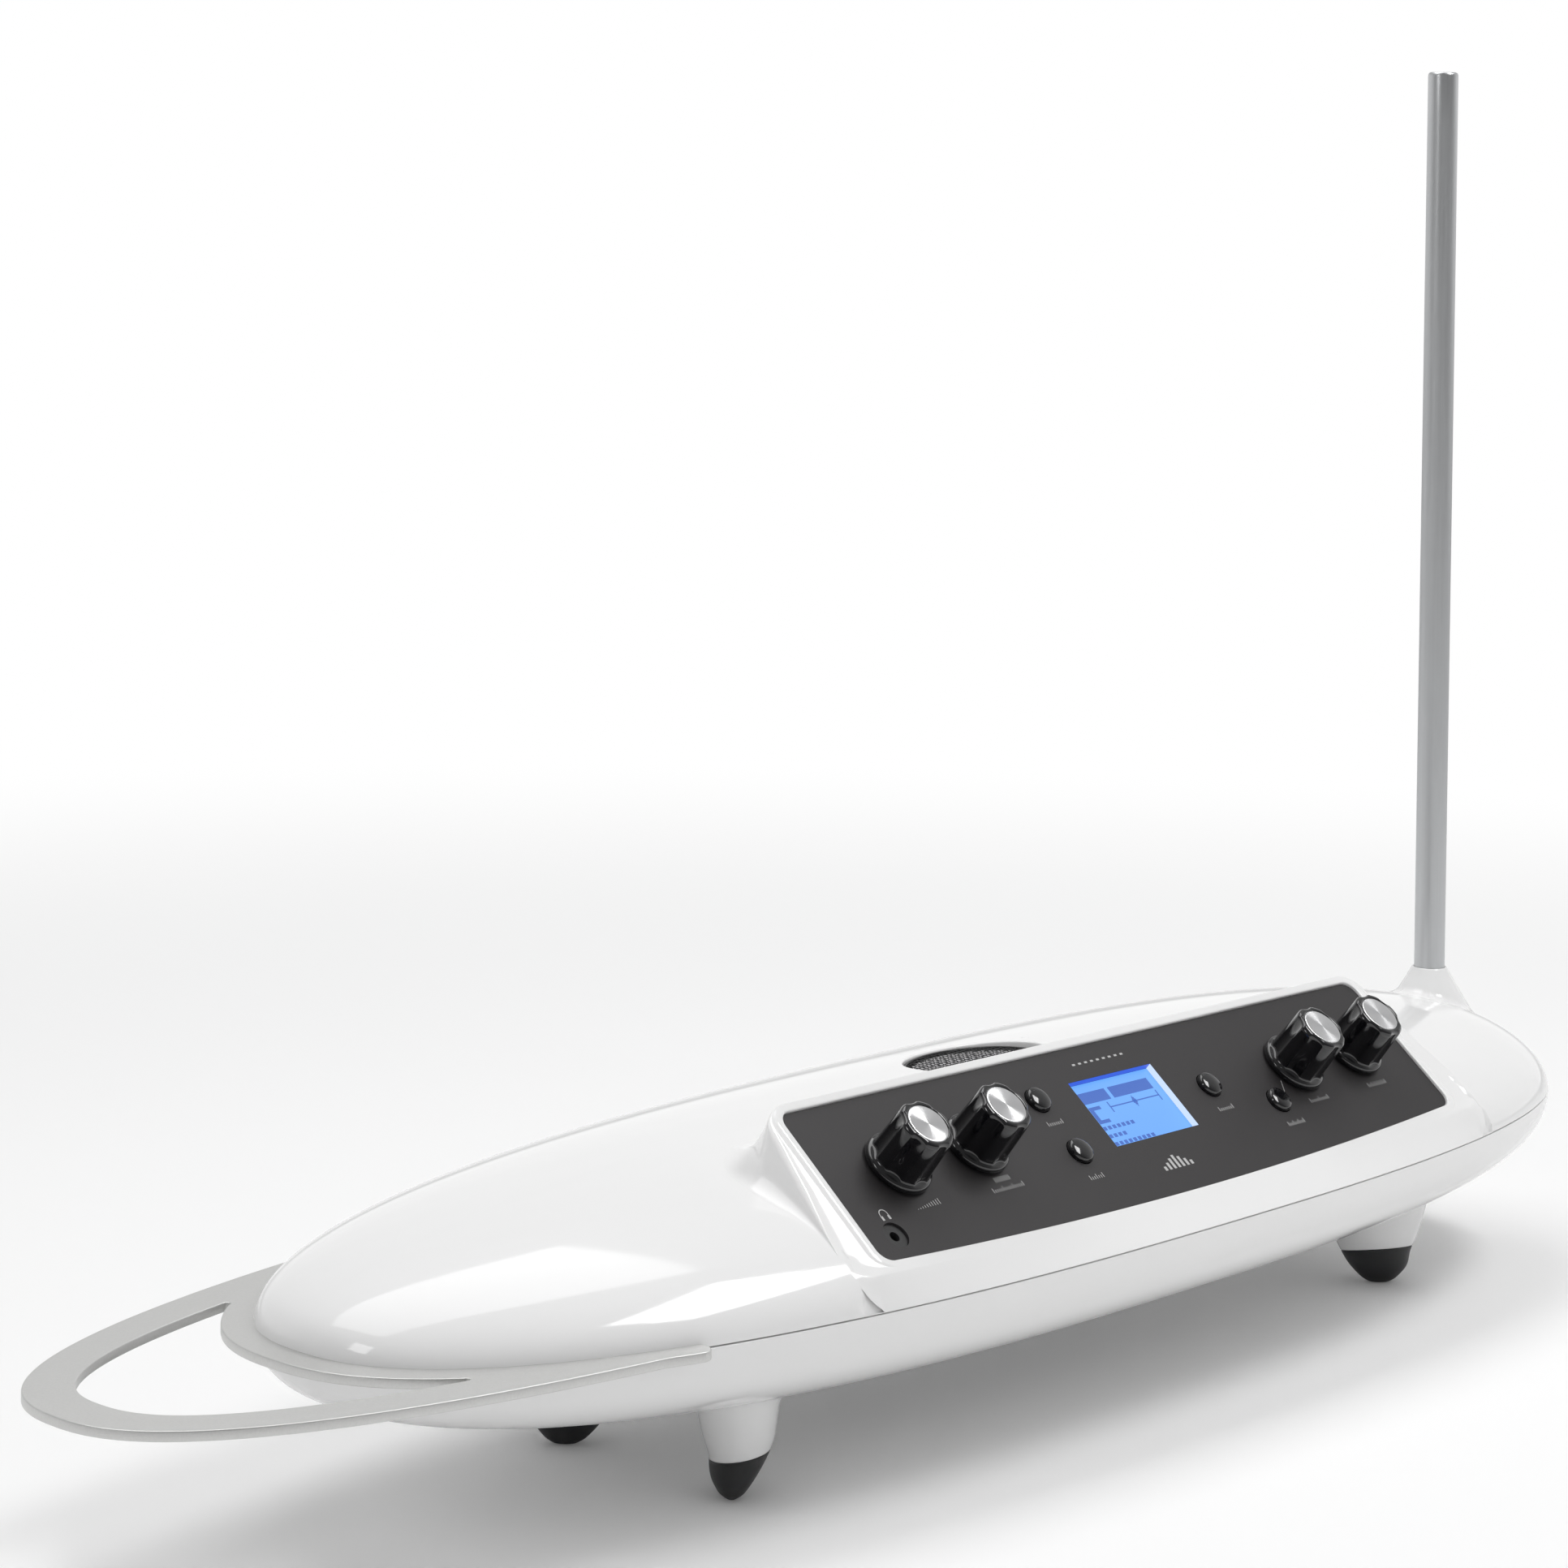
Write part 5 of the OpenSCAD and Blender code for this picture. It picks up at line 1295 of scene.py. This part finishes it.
prints += [(-1.4 + (k - 3) * 2.4, -24.9 + 0.42 * h, 1.3, 0.84 * h)
           for k, h in enumerate((2.0, 3.4, 5.0, 6.2, 5.0, 3.4, 2.0))]
tiles("panel_prints", prints, 0.03, INK)


def arch_sign():
    """The socket's sign: a half ring and two pads, as strips."""
    t = np.radians(np.linspace(0, 180, 24))
    u0, v0 = -144.0, -13.4
    outer = panel_point(u0 + 1.9 * np.cos(t), v0 + 2.0 * np.sin(t), 0.03)
    inner = panel_point(u0 + 1.55 * np.cos(t), v0 + 1.62 * np.sin(t), 0.03)
    legs = []
    for s in (-1, 1):
        legs.append(np.stack([panel_point(u0 + s * np.array([1.55, 1.9]), v0 + h, 0.03) for h in (0.0, -1.9)]))
        legs.append(np.stack([panel_point(u0 + s * np.array([1.05, 2.0]), v0 + h, 0.035)
                              for h in (-0.5, -0.7, -1.9, -2.1)]))
    below = panel_point(u0, v0, -50)
    return [(np.stack([outer, inner]), below)] + [(leg, below) for leg in legs]


piece("socket_sign", arch_sign(), INK, "chassis", [])

# %% [markdown]
# ## Finishes for the solids that stay
#
# Solids whose shape is right keep it, and get a finish made of nodes.


# %% Finishes by node
def board():
    """Green solder mask over faint copper tracks."""
    finish = Finish("solder_mask", (0.02, 0.16, 0.07), 0.35)
    tracks = finish.node("ShaderNodeTexBrick", None, {
        "Vector": finish.place(), "Scale": 220.0, "Mortar Size": 0.03}, "Fac")
    finish.set("Base Color", finish.mix(tracks, (0.018, 0.14, 0.06), (0.05, 0.26, 0.11)))
    finish.bump(tracks, 0.00003, 0.5)
    return finish.material


def plain(name, colour, rough, scale=1200.0):
    """Moulded plastic with a fine grain in its roughness and surface."""
    finish = Finish(name, colour, rough)
    grain = finish.noise(scale)
    finish.set("Roughness", rough - 0.05 + grain * 0.1)
    finish.bump(grain, 0.00002, 0.4)
    return finish.material


def clear_window():
    finish = Finish("clear_window", (1, 1, 1), 0.02, IOR=1.45)
    finish.set("Transmission Weight", 1.0)
    finish.set("Roughness", 0.01 + finish.noise(200.0) * 0.01)
    return finish.material


BOARD = board()
finishes = {
    "control_panel": PANEL_BLACK, "grille_cloth": CLOTH, "display_window": clear_window(),
    "display_module": plain("display_frame", (0.05, 0.09, 0.2), 0.4),
    "control_board": BOARD, "main_board": BOARD, "power_button": GLOSS,
    "phones_jack": DULL, "rear_panel": DULL, "speaker_basket": BLACK_METAL,
    "speaker_cone": plain("cone_paper", (0.03, 0.03, 0.03), 0.8, 700.0),
    "antenna_leads": plain("wire_red", (0.45, 0.06, 0.04), 0.45),
    "ribbon_cable": plain("ribbon_grey", (0.36, 0.38, 0.41), 0.5),
}
for name in ("rod_socket", "socket_nut", "board_spacers", "stand_insert"):
    finishes[name] = BRASS
for name in ("volume_shaft", "correction_shaft", "amount_shaft", "presets_shaft", "pot_washers",
             "pot_nuts", "spacer_screws", "main_board_screws", "jack_nuts", "usb_socket",
             "rear_panel_screws", "leg_screws", "shell_screws", "loop_screws", "speaker_magnet"):
    finishes[name] = STEEL
for name in ("pot_bodies", "encoder_body", "tact_switches", "display_header", "board_headers",
             "output_jacks", "dc_inlet", "power_switch"):
    finishes[name] = DULL
for name, material in finishes.items():
    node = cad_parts[name]
    node.data.materials.clear()
    node.data.materials.append(material)
print("solids with a finish:", len(finishes))

# %% [markdown]
# ## Studio
#
# A wide pale floor and a pale world. Two soft boxes hang overhead: their shapes show as
# bright windows in the gloss, and the floor keeps the soft shadow that they cast.


# %% Floor, world and lamps
def make_floor():
    """A large flat sheet. Far from the instrument the camera sees it fade into the backdrop."""
    mesh = bpy.data.meshes.new("floor")
    s = 14.0
    mesh.from_pydata([(-s, -s, 0), (s, -s, 0), (s, s, 0), (-s, s, 0)], [], [(0, 1, 2, 3)])
    finish = Finish("floor_paint", (0.93, 0.93, 0.93), 0.9)
    finish.shader.inputs["Specular IOR Level"].default_value = 0.1
    away = finish.node("ShaderNodeVectorMath", {"operation": "LENGTH"}, {0: finish.place()}, "Value")
    far = finish.node("ShaderNodeMapRange", {"interpolation_type": "SMOOTHSTEP"}, {
        "Value": away, "From Min": 0.5, "From Max": 1.5, "To Min": 0.05, "To Max": 1.0}, "Result")
    seen = finish.node("ShaderNodeLightPath", output="Is Camera Ray")
    white = finish.node("ShaderNodeEmission", None, {"Color": (1, 1, 1, 1), "Strength": 1.0})
    blend = finish.tree.nodes.new("ShaderNodeMixShader")
    finish.tree.links.new((far * seen).socket, blend.inputs[0])
    finish.tree.links.new(finish.shader.outputs[0], blend.inputs[1])
    finish.tree.links.new(white.socket, blend.inputs[2])
    finish.tree.links.new(blend.outputs[0], finish.tree.nodes["Material Output"].inputs["Surface"])
    mesh.materials.append(finish.material)
    item = bpy.data.objects.new("floor", mesh)
    item.location.z = -0.0002
    bpy.context.scene.collection.objects.link(item)
    return item


def make_world():
    """White to the camera, white behind the instrument in reflections, dimmer as a light."""
    world = bpy.data.worlds.new("studio")
    bpy.context.scene.world = world
    world.use_nodes = True
    tree = world.node_tree
    tree.nodes.clear()
    path = tree.nodes.new("ShaderNodeLightPath")
    out = tree.nodes.new("ShaderNodeOutputWorld")
    back = tree.nodes.new("ShaderNodeBackground")
    place = tree.nodes.new("ShaderNodeTexCoord")
    split = tree.nodes.new("ShaderNodeSeparateXYZ")
    tree.links.new(place.outputs["Generated"], split.inputs[0])
    x, y, z = (Wire(tree, split.outputs[k]) for k in range(3))
    seen = Wire(tree, path.outputs["Is Camera Ray"]).math(
        "MAXIMUM", Wire(tree, path.outputs["Is Transmission Ray"]))
    shiny = Wire(tree, path.outputs["Is Glossy Ray"])
    behind = (x * 0.73 + y * 0.69 + 0.35).math("MULTIPLY", 1.6, clamp=True)
    low = (1.0 - z * 1.1).math("MAXIMUM", 0.35)
    room = ROOM_DARK + behind * low * (1.0 - ROOM_DARK)
    level = (seen * (1.0 - SKY)) + (shiny * (room - SKY)) + SKY
    tree.links.new(level.socket, back.inputs["Strength"])
    back.inputs["Color"].default_value = (1, 1, 1, 1)
    tree.links.new(back.outputs[0], out.inputs[0])


def soft_box(name, where, target, size, watts, turn=0.0):
    """A rectangular lamp that faces a target."""
    data = bpy.data.lights.new(name, "AREA")
    data.shape, data.size, data.size_y = "RECTANGLE", *size
    data.energy = watts
    lamp = bpy.data.objects.new(name, data)
    lamp.location = where
    aim = Vector(target) - Vector(where)
    lamp.rotation_euler = (aim.to_track_quat("-Z", "Y") @ Quaternion((0, 0, 1), turn)).to_euler()
    bpy.context.scene.collection.objects.link(lamp)
    return lamp


SKY, ROOM_DARK = 0.46, 0.22
make_floor()
make_world()
soft_box("window_upper", (0.54, -0.60, 1.50), (-0.13, -0.06, 0.08), (0.80, 0.19), 4.2)
soft_box("window_lower", (0.62, -0.70, 1.33), (-0.13, -0.06, 0.08), (0.80, 0.19), 4.2)
soft_box("box_left", (-1.27, 0.07, 0.86), (-0.22, 0.0, 0.08), (0.28, 0.42), 1.6)
soft_box("box_top", (0.0, 0.55, 1.9), (0.0, 0.0, 0.0), (2.2, 1.0), 15.0)
bpy.context.scene.view_settings.view_transform = "Standard"

# %% [markdown]
# ## Last step
#
# The view layer is brought up to date.

# %% Finish
bpy.context.view_layer.update()
